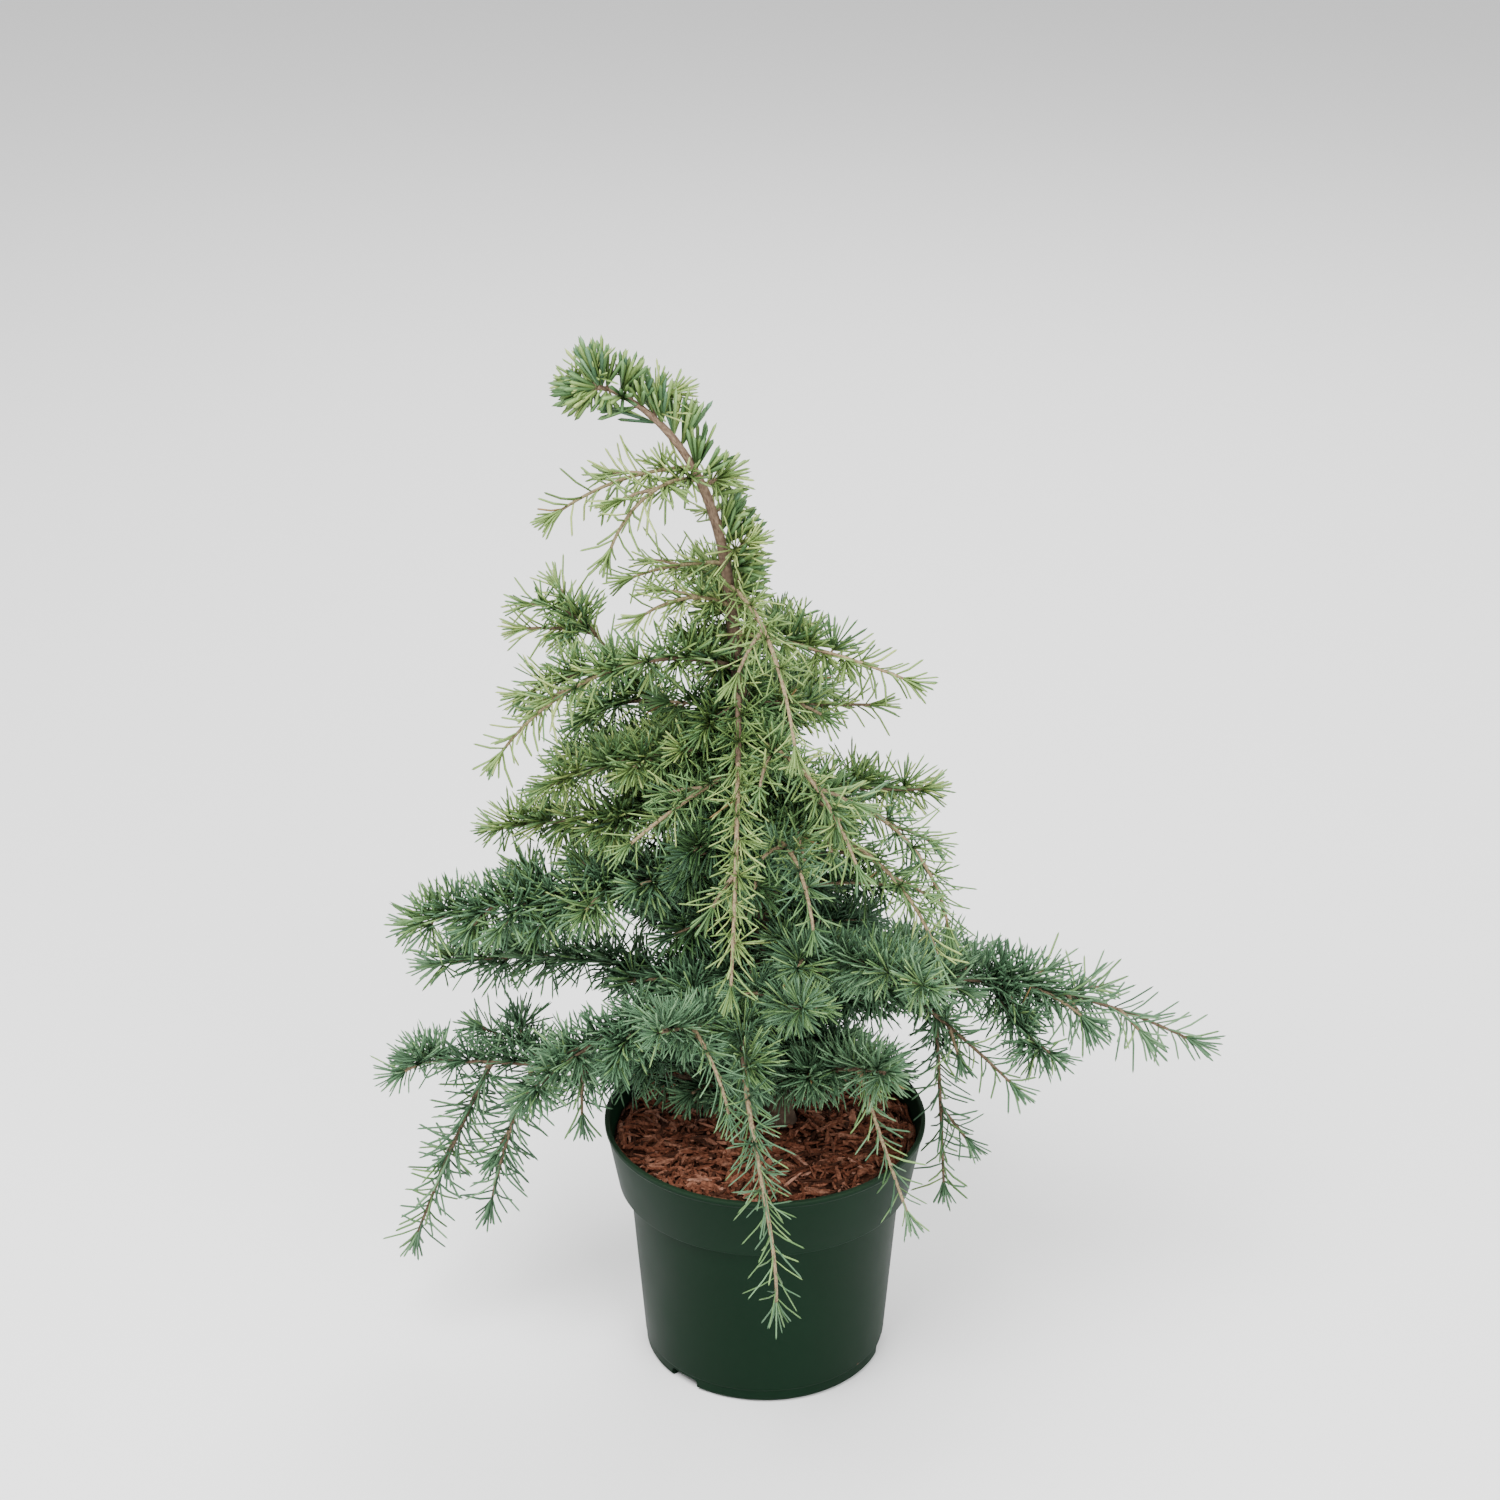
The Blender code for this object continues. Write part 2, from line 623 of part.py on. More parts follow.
def applyBoolean(thing, operation, operand=None, collection=None, solver="EXACT"):
    modifier = thing.modifiers.new("join", "BOOLEAN")
    modifier.operation = operation
    modifier.solver = solver
    if collection:
        modifier.operand_type = "COLLECTION"
        modifier.collection = collection
    else:
        modifier.object = operand
    bpy.context.view_layer.update()
    evaluated = thing.evaluated_get(bpy.context.evaluated_depsgraph_get())
    mesh = bpy.data.meshes.new_from_object(evaluated)
    thing.modifiers.clear()
    thing.data = mesh


def keepLargestShell(thing):
    bm = bmesh.new()
    bm.from_mesh(thing.data)
    left = set(bm.faces)
    shells = []
    while left:
        shell = set()
        front = [left.pop()]
        while front:
            face = front.pop()
            shell.add(face)
            for edge in face.edges:
                for beside in edge.link_faces:
                    if beside in left:
                        left.remove(beside)
                        front.append(beside)
        shells.append(shell)
    shells.sort(key=len)
    scrap = [face for shell in shells[:-1] for face in shell]
    if scrap:
        bmesh.ops.delete(bm, geom=scrap, context="FACES")
        bmesh.ops.delete(bm, geom=[v for v in bm.verts if not v.link_faces], context="VERTS")
    bm.to_mesh(thing.data)
    bm.free()


def turnedShape(name, profile, collection, steps):
    mesh = bpy.data.meshes.new(name)
    bm = bmesh.new()
    stops = [bm.verts.new((x, 0.0, z)) for x, z in profile]
    for a, b in zip(stops, stops[1:]):
        bm.edges.new((a, b))
    bm.to_mesh(mesh)
    bm.free()
    thing = addObject(name, mesh, collection)
    screw = thing.modifiers.new("turn", "SCREW")
    screw.steps = steps
    screw.render_steps = steps
    screw.use_merge_vertices = True
    screw.merge_threshold = 0.0001
    return thing


def makePot(collection, cutters):
    bandFoot = POT_HEIGHT - POT_BAND_HEIGHT
    lipFoot = POT_HEIGHT - POT_LIP_HEIGHT
    ledge = POT_BAND_FOOT_RADIUS - POT_WALL
    profile = [
        (0.0, POT_FLOOR),
        (POT_FOOT_RADIUS - POT_WALL, POT_FLOOR),
        (POT_BODY_RADIUS - POT_WALL, bandFoot - POT_WALL),
        (ledge - POT_WALL, bandFoot + POT_WALL),
        (POT_RIM_RADIUS - POT_WALL, POT_HEIGHT),
        (POT_RIM_RADIUS + POT_LIP_PROUD, POT_HEIGHT),
        (POT_RIM_RADIUS + POT_LIP_PROUD, lipFoot),
        (POT_RIM_RADIUS, lipFoot - POT_LIP_PROUD),
        (POT_BAND_FOOT_RADIUS, bandFoot),
        (POT_BODY_RADIUS, bandFoot - POT_WALL),
        (POT_FOOT_RADIUS + POT_FOOT_LINE_PROUD, POT_FOOT_LINE_HEIGHT),
        (POT_FOOT_RADIUS, POT_FOOT_LINE_HEIGHT - POT_FOOT_LINE_PROUD),
        (POT_FOOT_RADIUS, POT_FOOT_CHAMFER),
        (POT_FOOT_RADIUS - POT_FOOT_CHAMFER, 0.0),
        (0.0, 0.0),
    ]
    pot = turnedShape("pot", profile, collection, POT_STEPS)
    for i in range(NOTCH_COUNT):
        bearing = NOTCH_FIRST_BEARING + 360.0 * i / NOTCH_COUNT
        notch = makeNotchCutter(bearing, cutters)
        modifier = pot.modifiers.new("drain", "BOOLEAN")
        modifier.operation = "DIFFERENCE"
        modifier.object = notch
    pot.data.shade_smooth()
    return pot


def makeNotchCutter(bearing, cutters):
    bpy.ops.mesh.primitive_cube_add(size=1.0)
    cutter = bpy.context.object
    cutter.name = "drain_cutter"
    for collection in list(cutter.users_collection):
        collection.objects.unlink(cutter)
    cutters.objects.link(cutter)
    cutter.scale = (2.0 * NOTCH_DEPTH, NOTCH_WIDTH, 2.0 * NOTCH_HEIGHT)
    cutter.rotation_euler = (0.0, 0.0, math.radians(bearing))
    cutter.location = heading(bearing, 0.0) * POT_FOOT_RADIUS
    cutter.hide_render = True
    cutter.display_type = "WIRE"
    return cutter


def makeMulch(collection):
    bandFoot = POT_HEIGHT - POT_BAND_HEIGHT
    wall = POT_WALL + GAP
    edge = MULCH_TOP - MULCH_EDGE_DROP
    bandShare = (edge - bandFoot) / POT_BAND_HEIGHT
    edgeRadius = POT_BAND_FOOT_RADIUS + (POT_RIM_RADIUS - POT_BAND_FOOT_RADIUS) * bandShare
    ledge = POT_BAND_FOOT_RADIUS - 2.0 * POT_WALL
    profile = [
        (0.0, MULCH_TOP),
        (MULCH_LEVEL_RADIUS, MULCH_TOP),
        (edgeRadius - 2.0 * wall, edge),
        (ledge - 2.0 * GAP, bandFoot + POT_WALL + GAP),
        (POT_BODY_RADIUS - wall - GAP, bandFoot - POT_WALL),
        (POT_FOOT_RADIUS - wall - GAP, POT_FLOOR + GAP),
        (0.0, POT_FLOOR + GAP),
    ]
    mulch = turnedShape("mulch", profile, collection, POT_STEPS)
    mulch.data.shade_smooth()
    return mulch


def widened(radii, extra):
    return [radius + extra for radius in radii]


def seatedStem(mass, boughs, trunk):
    # A stem that goes on from a tip starts clear of it, by more where the two are at an angle
    points = list(mass.axes[0].points)
    if mass.seat == "side":
        return points
    below = trunk if mass.parent == "trunk" else boughs[mass.parent][0]
    ahead = (points[1] - points[0]).normalized()
    angle = ahead.angle(below[-1] - below[-2])
    widest = mass.axes[0].radii[0]
    points[0] = points[0] + ahead * (GAP + widest * math.sin(angle))
    return points


def makeMass(mass, stem, parts, cutter, material):
    work = makeCollection("work")
    body = makeTube("foliage_" + mass.name, stem, mass.axes[0].radii, parts, STEM_SIDES)
    if mass.seat == "side":
        applyBoolean(body, "DIFFERENCE", operand=cutter)
        keepLargestShell(body)
    for axis in mass.axes[1:]:
        makeTube("twig", axis.points, axis.radii, work, STEM_SIDES)
    for root, tip in mass.needles:
        makeNeedle(root, tip, work)
    applyBoolean(body, "UNION", collection=work, solver="MANIFOLD")
    keepLargestShell(body)
    for thing in list(work.objects):
        bpy.data.objects.remove(thing, do_unlink=True)
    bpy.data.collections.remove(work)
    body.data.materials.clear()
    body.data.materials.append(material)
    return body


def foliageColour(height):
    share = min(max((height - MULCH_TOP) / TRUNK_LENGTH, 0.0), 1.0)
    return tuple(low + (high - low) * share for low, high in zip(LOW_GREEN, HIGH_GREEN))


def main():
    clearScene()
    parts = makeCollection("potted_deodar_cedar")
    cutters = makeCollection("cutters")
    bark = makeMaterial("bark", *BARK_BROWN)
    pot = makePot(parts, cutters)
    pot.data.materials.append(makeMaterial("pot_plastic", *POT_GREEN))
    mulch = makeMulch(parts)
    mulch.data.materials.append(makeMaterial("bark_mulch", *MULCH_BROWN))

    trunkPoints, woods, boughs, masses = growStems()
    neighbours = Neighbours()
    stops, radii = trunkTube(trunkPoints)
    neighbours.addTube("trunk", stops, radii)
    for name, tube in boughs.items():
        neighbours.addTube("bough_" + name, *tube)
    for name, mass in masses.items():
        for axis in mass.axes:
            neighbours.addTube(name, axis.points, axis.radii)
    growTwigs(woods, masses, neighbours)
    growNeedles(masses, neighbours)

    trunk = makeTube("trunk", stops, radii, parts, TRUNK_SIDES)
    trunk.data.materials.append(bark)
    clearances = {"trunk": makeTube("trunk_clearance", stops, widened(radii, GAP), cutters, TRUNK_SIDES)}
    for name, (boughStops, boughRadii) in boughs.items():
        bough = makeTube("bough_" + name, boughStops, boughRadii, parts, BOUGH_SIDES)
        applyBoolean(bough, "DIFFERENCE", operand=clearances["trunk"])
        keepLargestShell(bough)
        bough.data.materials.append(bark)
        wide = widened(boughRadii, GAP)
        clearances[name] = makeTube(name + "_clearance", boughStops, wide, cutters, BOUGH_SIDES)
    for name, mass in masses.items():
        colour = foliageColour(mass.axes[0].points[-1].z)
        material = makeMaterial("needles_" + name, colour, NEEDLE_ROUGHNESS)
        makeMass(mass, seatedStem(mass, boughs, stops), parts, clearances.get(mass.parent), material)
    for thing in clearances.values():
        bpy.data.objects.remove(thing, do_unlink=True)


main()
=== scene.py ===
# Potted deodar cedar: bark, needles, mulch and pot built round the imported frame, in metres.
# +Z is up, +X is to the right and -Y is the front. The limbs grow by the same rule as the frame's.
import json
import math
import random
from collections import namedtuple

import bmesh
import bpy
import numpy as np
from mathutils import Matrix, Vector, noise

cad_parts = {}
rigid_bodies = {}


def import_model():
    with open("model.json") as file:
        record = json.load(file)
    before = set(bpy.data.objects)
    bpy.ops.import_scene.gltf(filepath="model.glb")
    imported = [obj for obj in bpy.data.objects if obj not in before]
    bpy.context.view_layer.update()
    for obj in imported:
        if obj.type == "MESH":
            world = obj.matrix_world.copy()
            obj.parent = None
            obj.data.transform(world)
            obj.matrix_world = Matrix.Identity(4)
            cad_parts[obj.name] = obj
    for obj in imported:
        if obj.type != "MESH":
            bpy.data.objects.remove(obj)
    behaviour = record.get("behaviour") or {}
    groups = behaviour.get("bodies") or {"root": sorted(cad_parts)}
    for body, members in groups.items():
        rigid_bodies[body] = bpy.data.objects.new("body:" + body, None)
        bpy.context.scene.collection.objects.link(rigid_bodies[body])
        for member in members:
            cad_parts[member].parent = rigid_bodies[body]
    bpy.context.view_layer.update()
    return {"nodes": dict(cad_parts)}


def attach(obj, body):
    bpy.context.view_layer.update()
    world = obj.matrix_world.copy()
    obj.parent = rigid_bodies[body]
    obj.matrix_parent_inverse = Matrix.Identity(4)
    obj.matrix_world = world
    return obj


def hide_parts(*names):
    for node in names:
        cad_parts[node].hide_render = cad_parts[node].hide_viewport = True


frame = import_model()
print("frame loaded:", len(frame["nodes"]), "nodes")

# The limbs, as in the frame: how high each leaves the trunk, its bearing (0 right, 90 back), how far
# it turns, its lift at the root and at the tip, its length, the bough's share of it, and its twigs
Limb = namedtuple("Limb", "height bearing turn rise dip length bough twigs")
limbs = {
    "crest": Limb(0.720, 80, 0, 75, 60, 0.036, 0.0, 0),
    "crown_spur": Limb(0.672, 350, 0, 36, 28, 0.034, 0.0, 0),
    "crown_left": Limb(0.686, 195, 0, 5, -40, 0.115, 0.0, 1),
    "crown_hanging": Limb(0.677, 225, 0, 25, -80, 0.115, 0.0, 1),
    "upper_spur": Limb(0.622, 335, 0, 42, 20, 0.042, 0.0, 0),
    "upper_left": Limb(0.618, 175, 5, 0, -29, 0.085, 0.0, 1),
    "upper_left_front": Limb(0.585, 215, -5, 40, -40, 0.095, 0.0, 1),
    "rear_left": Limb(0.335, 145, 5, 70, 40, 0.243, 1.0, 0),
    "high_left": Limb(0.540, 205, -5, 30, -60, 0.210, 0.36, 1),
    "middle_left": Limb(0.475, 190, 0, 10, -25, 0.160, 0.0, 3),
    "middle_rear_left": Limb(0.455, 175, -5, -21, -8, 0.205, 0.0, 3),
    "long_left": Limb(0.380, 180, 0, 0, -20, 0.265, 0.40, 2),
    "long_low_left": Limb(0.275, 160, 25, 15, -10, 0.265, 0.35, 1),
    "front_low_left": Limb(0.310, 210, -10, 0, -40, 0.220, 0.0, 3),
    "lowest_left": Limb(0.205, 180, 0, 10, 0, 0.285, 0.80, 2),
    "front_left": Limb(0.270, 242, 0, 23, 22, 0.195, 0.60, 1),
    "long_front": Limb(0.535, 271, -5, -20, -50, 0.260, 0.30, 1),
    "short_front": Limb(0.467, 235, -5, 5, -16, 0.150, 0.0, 1),
    "front_right": Limb(0.400, 290, -15, 45, -35, 0.205, 0.0, 1),
    "middle_front": Limb(0.295, 278, 0, 15, 35, 0.200, 0.0, 2),
    "hanging_front": Limb(0.280, 250, 58, 35, -100, 0.320, 0.40, 0),
    "crown_front_right": Limb(0.600, 290, -5, 15, -68, 0.182, 0.0, 1),
    "upper_right": Limb(0.567, 340, 5, 0, -20, 0.143, 0.0, 0),
    "upper_rear_right": Limb(0.515, 355, 5, 0, 0, 0.110, 0.0, 1),
    "middle_right": Limb(0.462, 0, 5, -15, 3, 0.145, 0.0, 2),
    "middle_front_right": Limb(0.485, 300, -5, 25, -50, 0.190, 0.0, 2),
    "arching_right": Limb(0.435, 345, -30, 35, -90, 0.215, 0.0, 2),
    "arching_front_right": Limb(0.415, 325, -10, 35, -75, 0.210, 0.0, 2),
    "front_low_right": Limb(0.310, 310, -5, 30, 5, 0.210, 0.0, 2),
    "long_right": Limb(0.280, 15, -20, 9, -30, 0.340, 0.46, 3),
    "rim_right": Limb(0.210, 305, 5, 40, 15, 0.165, 0.0, 2),
    "back_low_left": Limb(0.300, 122, 12, 20, -30, 0.260, 0.35, 3),
    "back_low_right": Limb(0.250, 50, -10, 20, -35, 0.250, 0.0, 4),
    "back_low": Limb(0.320, 84, 10, 15, -45, 0.250, 0.0, 4),
    "back_middle_left": Limb(0.425, 112, -8, 15, -45, 0.200, 0.0, 3),
    "back_middle_right": Limb(0.480, 68, 10, 20, -40, 0.165, 0.0, 3),
    "back_upper_right": Limb(0.545, 62, 0, 15, -40, 0.140, 0.0, 2),
    "back_upper": Limb(0.580, 98, 0, 20, -45, 0.130, 0.0, 2),
    "back_high": Limb(0.638, 98, 0, 20, -50, 0.085, 0.0, 1),
}

# Shoots start at a share of their parent's length. A fused one belongs to its parent's mass
Shoot = namedtuple("Shoot", "parent share bearing turn rise dip length fused")
shoots = {
    "leader": Shoot("trunk", 1.0, 190, 0, 8, -12, 0.036, False),
    "leader_upright": Shoot("leader", 0.24, 110, 0, 78, 78, 0.032, True),
    "crest_lower": Shoot("crest", 0.30, 5, 0, 30, 15, 0.032, True),
    "rear_left_tip": Shoot("rear_left", 1.0, 165, 5, 55, -35, 0.075, False),
    "rear_left_fork": Shoot("rear_left_tip", 0.04, 178, 0, 10, -10, 0.068, True),
    "rear_left_outer": Shoot("rear_left", 0.76, 185, 0, 5, -55, 0.070, False),
    "rear_left_inner": Shoot("rear_left", 0.64, 175, 0, -10, -30, 0.100, False),
    "high_left_side": Shoot("high_left", 0.40, 170, 5, -10, -35, 0.095, True),
    "long_left_upper": Shoot("long_left", 0.41, 145, 5, 50, 10, 0.045, True),
    "long_left_lower": Shoot("long_left", 0.52, 235, -5, -40, -15, 0.055, True),
    "lowest_left_outer": Shoot("lowest_left", 0.73, 190, 0, -65, -70, 0.172, False),
    "lowest_left_inner": Shoot("lowest_left", 0.62, 220, 5, -60, -75, 0.128, False),
    "lowest_left_upper": Shoot("lowest_left", 0.575, 150, 10, 25, 0, 0.082, False),
    "front_low_left_hanging": Shoot("front_low_left", 0.66, 200, 0, -80, -95, 0.075, True),
    "front_left_hanging": Shoot("front_left", 0.64, 285, 30, 15, -100, 0.100, True),
    "long_right_side": Shoot("long_right", 0.48, 310, 0, -45, 5, 0.095, True),
    "long_right_front": Shoot("long_right", 0.26, 320, 0, -15, -30, 0.140, False),
    "long_right_hanging": Shoot("long_right", 0.36, 280, 5, -70, -80, 0.175, False),
    "long_right_hanging_side": Shoot("long_right_hanging", 0.55, 330, 0, -40, -50, 0.050, True),
    "rim_right_hanging": Shoot("rim_right", 0.68, 295, 25, -50, -65, 0.125, True),
}

pot = {
    "height": 0.190, "rimRadius": 0.115, "lipHeight": 0.0035, "lipProud": 0.0012,
    "bandHeight": 0.050, "bandFootRadius": 0.1066, "bodyRadius": 0.0986, "footRadius": 0.088,
    "footChamfer": 0.0025, "footLineHeight": 0.011, "footLineProud": 0.0008,
    "wall": 0.0022, "floor": 0.0030, "steps": 160, "rounding": 0.0008,
    "notchCount": 3, "notchBearing": 227.5, "notchWidth": 0.025, "notchHeight": 0.008, "notchDepth": 0.016,
}

mulch = {
    "top": 0.180, "levelRadius": 0.032, "edgeDrop": 0.004, "gap": 0.0003,
    "chips": 2500, "reach": 0.1075, "rings": 36, "steps": 96, "unevenness": 0.0026,
}

trunk = {
    "foot": (0.010, 0.010), "length": 0.582, "upright": 0.008, "lean": 4.8,
    "nodFrom": 0.645, "nod": 60.4, "nodPower": 2.0,
    "radius": 0.0068, "tipRadius": 0.0016, "taper": 0.85, "flare": 0.0048, "flareHeight": 0.010,
    "sides": 28, "spacing": 0.0030, "steps": 88,
}

wood = {
    "rootRadius": 0.0011, "radiusPerLength": 0.0040, "tipRadius": 0.0008, "taper": 0.75,
    "routeSteps": 24, "tipReach": 0.022, "twigSides": 7, "boughSides": 14,
    "collar": 0.6, "collarLength": 0.005,
}

twigs = {
    "seed": 41, "first": 0.12, "last": 0.78, "spread": 48.0, "lengthShare": 0.50,
    "least": 0.045, "most": 0.090, "droop": 35.0,
}


# Routes of the trunk, the limbs and the twigs

def heading(bearing, lift):
    flat = math.cos(math.radians(lift))
    return Vector((
        flat * math.cos(math.radians(bearing)),
        flat * math.sin(math.radians(bearing)),
        math.sin(math.radians(lift)),
    ))


def route(start, bearing, turn, rise, dip, length):
    points = [Vector(start)]
    steps = wood["routeSteps"]
    for i in range(steps):
        share = (i + 0.5) / steps
        step = heading(bearing + turn * share, rise + (dip - rise) * share)
        points.append(points[-1] + step * (length / steps))
    return points


def pointAt(points, share):
    place = min(max(share, 0.0), 1.0) * (len(points) - 1)
    i = min(int(place), len(points) - 2)
    return points[i].lerp(points[i + 1], place - i)


def trunkRoute():
    foot = Vector((*trunk["foot"], mulch["top"] + mulch["gap"]))
    points = [foot, foot + Vector((0.0, 0.0, trunk["upright"]))]
    for i in range(trunk["steps"]):
        share = (i + 0.5) / trunk["steps"]
        nod = max(0.0, (share - trunk["nodFrom"]) / (1.0 - trunk["nodFrom"])) ** trunk["nodPower"]
        lean = trunk["lean"] + trunk["nod"] * nod
        points.append(points[-1] + heading(180.0, 90.0 - lean) * (trunk["length"] / trunk["steps"]))
    return points


def trunkRadius(share, height):
    taper = trunk["radius"] * (1.0 - share) ** trunk["taper"] + trunk["tipRadius"]
    return taper + trunk["flare"] * math.exp(-height / trunk["flareHeight"])


def trunkShareAtHeight(points, height):
    for i, (low, high) in enumerate(zip(points, points[1:])):
        if high.z >= height:
            return (i + (height - low.z) / (high.z - low.z)) / (len(points) - 1)
    return 1.0


def limbRadius(length, share):
    root = wood["rootRadius"] + wood["radiusPerLength"] * length
    return (root - wood["tipRadius"]) * max(0.0, 1.0 - share) ** wood["taper"] + wood["tipRadius"]


def stemEnd(length):
    return 1.0 - wood["tipReach"] / length


# An axis is a stretch of wood: its points, its radii, how far each point is from the tip, the mass
# that it belongs to, its kind, the height at which its limb leaves the trunk, and its own name
Axis = namedtuple("Axis", "points radii fromTip owner kind height name")


def makeAxis(points, length, first, last, owner, kind, height, name=None):
    count = max(3, int((last - first) * length / 0.006))
    shares = [first + (last - first) * i / count for i in range(count + 1)]
    stops = [pointAt(points, share) for share in shares]
    radii = [limbRadius(length, share) for share in shares]
    if kind != "bough" or first == 0.0:
        for i, stop in enumerate(stops):
            grown = math.exp(-(stop - stops[0]).length / wood["collarLength"])
            if first == 0.0:
                radii[i] *= 1.0 + wood["collar"] * grown
    fromTip = [(last - share) * length for share in shares]
    return Axis(stops, radii, fromTip, owner, kind, height, name or owner)


def growLimbs():
    trunkPoints = trunkRoute()
    routes = {"trunk": trunkPoints}
    axes = []
    for name, limb in limbs.items():
        start = pointAt(trunkPoints, trunkShareAtHeight(trunkPoints, limb.height))
        points = route(start, limb.bearing, limb.turn, limb.rise, limb.dip, limb.length)
        routes[name] = points
        end = stemEnd(limb.length) if limb.bough < 1.0 else 1.0
        if limb.bough > 0.0:
            bough = makeAxis(points, limb.length, 0.0, limb.bough, name, "bough", limb.height)
            onward = (end - limb.bough) * limb.length
            axes.append(bough._replace(fromTip=[far + onward for far in bough.fromTip]))
        if limb.bough < 1.0:
            axes.append(makeAxis(points, limb.length, limb.bough, end, name, "stem", limb.height))
    for name, shoot in shoots.items():
        start = pointAt(routes[shoot.parent], shoot.share)
        points = route(start, shoot.bearing, shoot.turn, shoot.rise, shoot.dip, shoot.length)
        routes[name] = points
        owner = shoot.parent if shoot.fused else name
        height = limbs[shoot.parent].height if shoot.parent in limbs else points[0].z
        axes.append(makeAxis(points, shoot.length, 0.0, stemEnd(shoot.length), owner, "stem", height, name))
    return trunkPoints, routes, axes


def sideTwigs(points, length, bough, count, rng):
    grown = []
    for i in range(count):
        reach = (i + 0.5) / count + rng.uniform(-0.12, 0.12)
        share = bough + (stemEnd(length) - bough) * (twigs["first"] + (twigs["last"] - twigs["first"]) * reach)
        start = pointAt(points, share)
        along = pointAt(points, share + 0.03) - pointAt(points, share - 0.03)
        bearing = math.degrees(math.atan2(along.y, along.x))
        lift = math.degrees(math.asin(along.normalized().z))
        side = 1.0 if i % 2 else -1.0
        spread = twigs["spread"] + rng.uniform(-10.0, 10.0)
        size = twigs["lengthShare"] * length * (1.0 - share) * rng.uniform(0.8, 1.2)
        size = min(max(size, twigs["least"]), twigs["most"])
        rise = max(lift, -55.0) + rng.uniform(0.0, 14.0)
        twig = route(start, bearing + side * spread, -side * 12.0, rise, rise - twigs["droop"], size)
        grown.append((twig, size))
    return grown


def massNames():
    names = [name for name, limb in limbs.items() if limb.bough < 1.0]
    return names + [name for name, shoot in shoots.items() if not shoot.fused]


def growTwigs(routes, axes):
    # The frame's own twigs come first, by the same draws, and finer ones after them
    for index, name in enumerate(massNames()):
        rng = random.Random(twigs["seed"] + index)
        limb = limbs.get(name)
        count = limb.twigs if limb else 1
        bough = limb.bough if limb else 0.0
        length = limb.length if limb else shoots[name].length
        for points, size in sideTwigs(routes[name], length, bough, count, rng):
            if clearOfPot(points) and clearOfWood(points, name, axes):
                height = limb.height if limb else routes[name][0].z
                axes.append(makeAxis(points, size, 0.0, stemEnd(size), name, "twig", height))


fineTwigs = {
    "seed": 913, "spacing": 0.019, "least": 0.034, "most": 0.066, "spread": 52.0, "droop": 30.0,
    "tipShare": 0.42, "parentLength": 0.070, "sparseBy": 1.5,
}

# Limbs that grow no fine twigs
plain = {
    "crown_left", "crown_hanging", "upper_left", "upper_left_front", "upper_right", "upper_rear_right",
    "crown_front_right", "long_front", "hanging_front", "back_high", "back_upper", "crown_spur", "upper_spur",
    "long_low_left", "lowest_left_outer", "lowest_left_inner", "rear_left", "rear_left_tip", "long_right_hanging",
    "short_front", "middle_front_right", "high_left", "long_right_front", "rim_right_hanging", "front_right",
    "front_left_hanging", "front_low_left_hanging", "back_upper_right", "arching_right",
}

# Shoots that keep young needles: along how much of their length, how much of it has no rosettes, how
# far apart the needles stand, and how far they lean out
hanging = {
    "long_front": (0.24, 0.020, 0.0023, 48), "hanging_front": (0.17, 0.066, 0.0020, 47),
    "front_left_hanging": (0.10, 0.020, 0.0019, 46), "rim_right_hanging": (0.14, 0.110, 0.0024, 50),
    "crown_front_right": (0.17, 0.045, 0.0031, 52), "arching_right": (0.15, 0.030, 0.0018, 50),
    "arching_front_right": (0.13, 0.026, 0.0018, 52), "middle_front_right": (0.12, 0.030, 0.0024, 50),
    "crown_left": (0.12, 0.055, 0.0027, 60), "crown_hanging": (0.12, 0.055, 0.0027, 60),
    "lowest_left_outer": (0.16, 0.110, 0.0013, 62), "lowest_left_inner": (0.13, 0.080, 0.0013, 62),
    "front_low_left_hanging": (0.07, 0.050, 0.0020, 60), "long_right_hanging": (0.15, 0.100, 0.0016, 60),
    "long_right_hanging_side": (0.05, 0.040, 0.0020, 60), "long_right_front": (0.13, 0.060, 0.0020, 56),
    "upper_right": (0.045, 0.022, 0.0017, 54), "high_left": (0.11, 0.040, 0.0017, 54),
    "upper_left": (0.08, 0.025, 0.0024, 52), "upper_left_front": (0.10, 0.025, 0.0023, 52),
    "short_front": (0.12, 0.030, 0.0024, 50), "long_right": (0.11, 0.075, 0.0020, 52),
    "rear_left": (0.04, 0.012, 0.0030, 50), "rear_left_tip": (0.03, 0.008, 0.0019, 54),
    "rear_left_fork": (0.03, 0.008, 0.0019, 54), "back_high": (0.10, 0.100, 0.0034, 40),
    "front_right": (0.14, 0.026, 0.0023, 50), "upper_rear_right": (0.06, 0.015, 0.0020, 52),
}

trunkShoots = {
    "seed": 58, "from": 0.232, "to": 0.605, "step": 0.0034, "turn": 137.5,
    "long": 0.112, "longTo": 0.345, "short": 0.030, "shortFrom": 0.500, "rise": (0.0, 45.0), "droop": 45.0,
    "shortLeft": 0.068, "left": (95.0, 255.0), "leftTo": 0.548,
    "clearFront": (205.0, 330.0), "clearHeights": ((0.275, 0.385), (0.545, 0.700)),
}


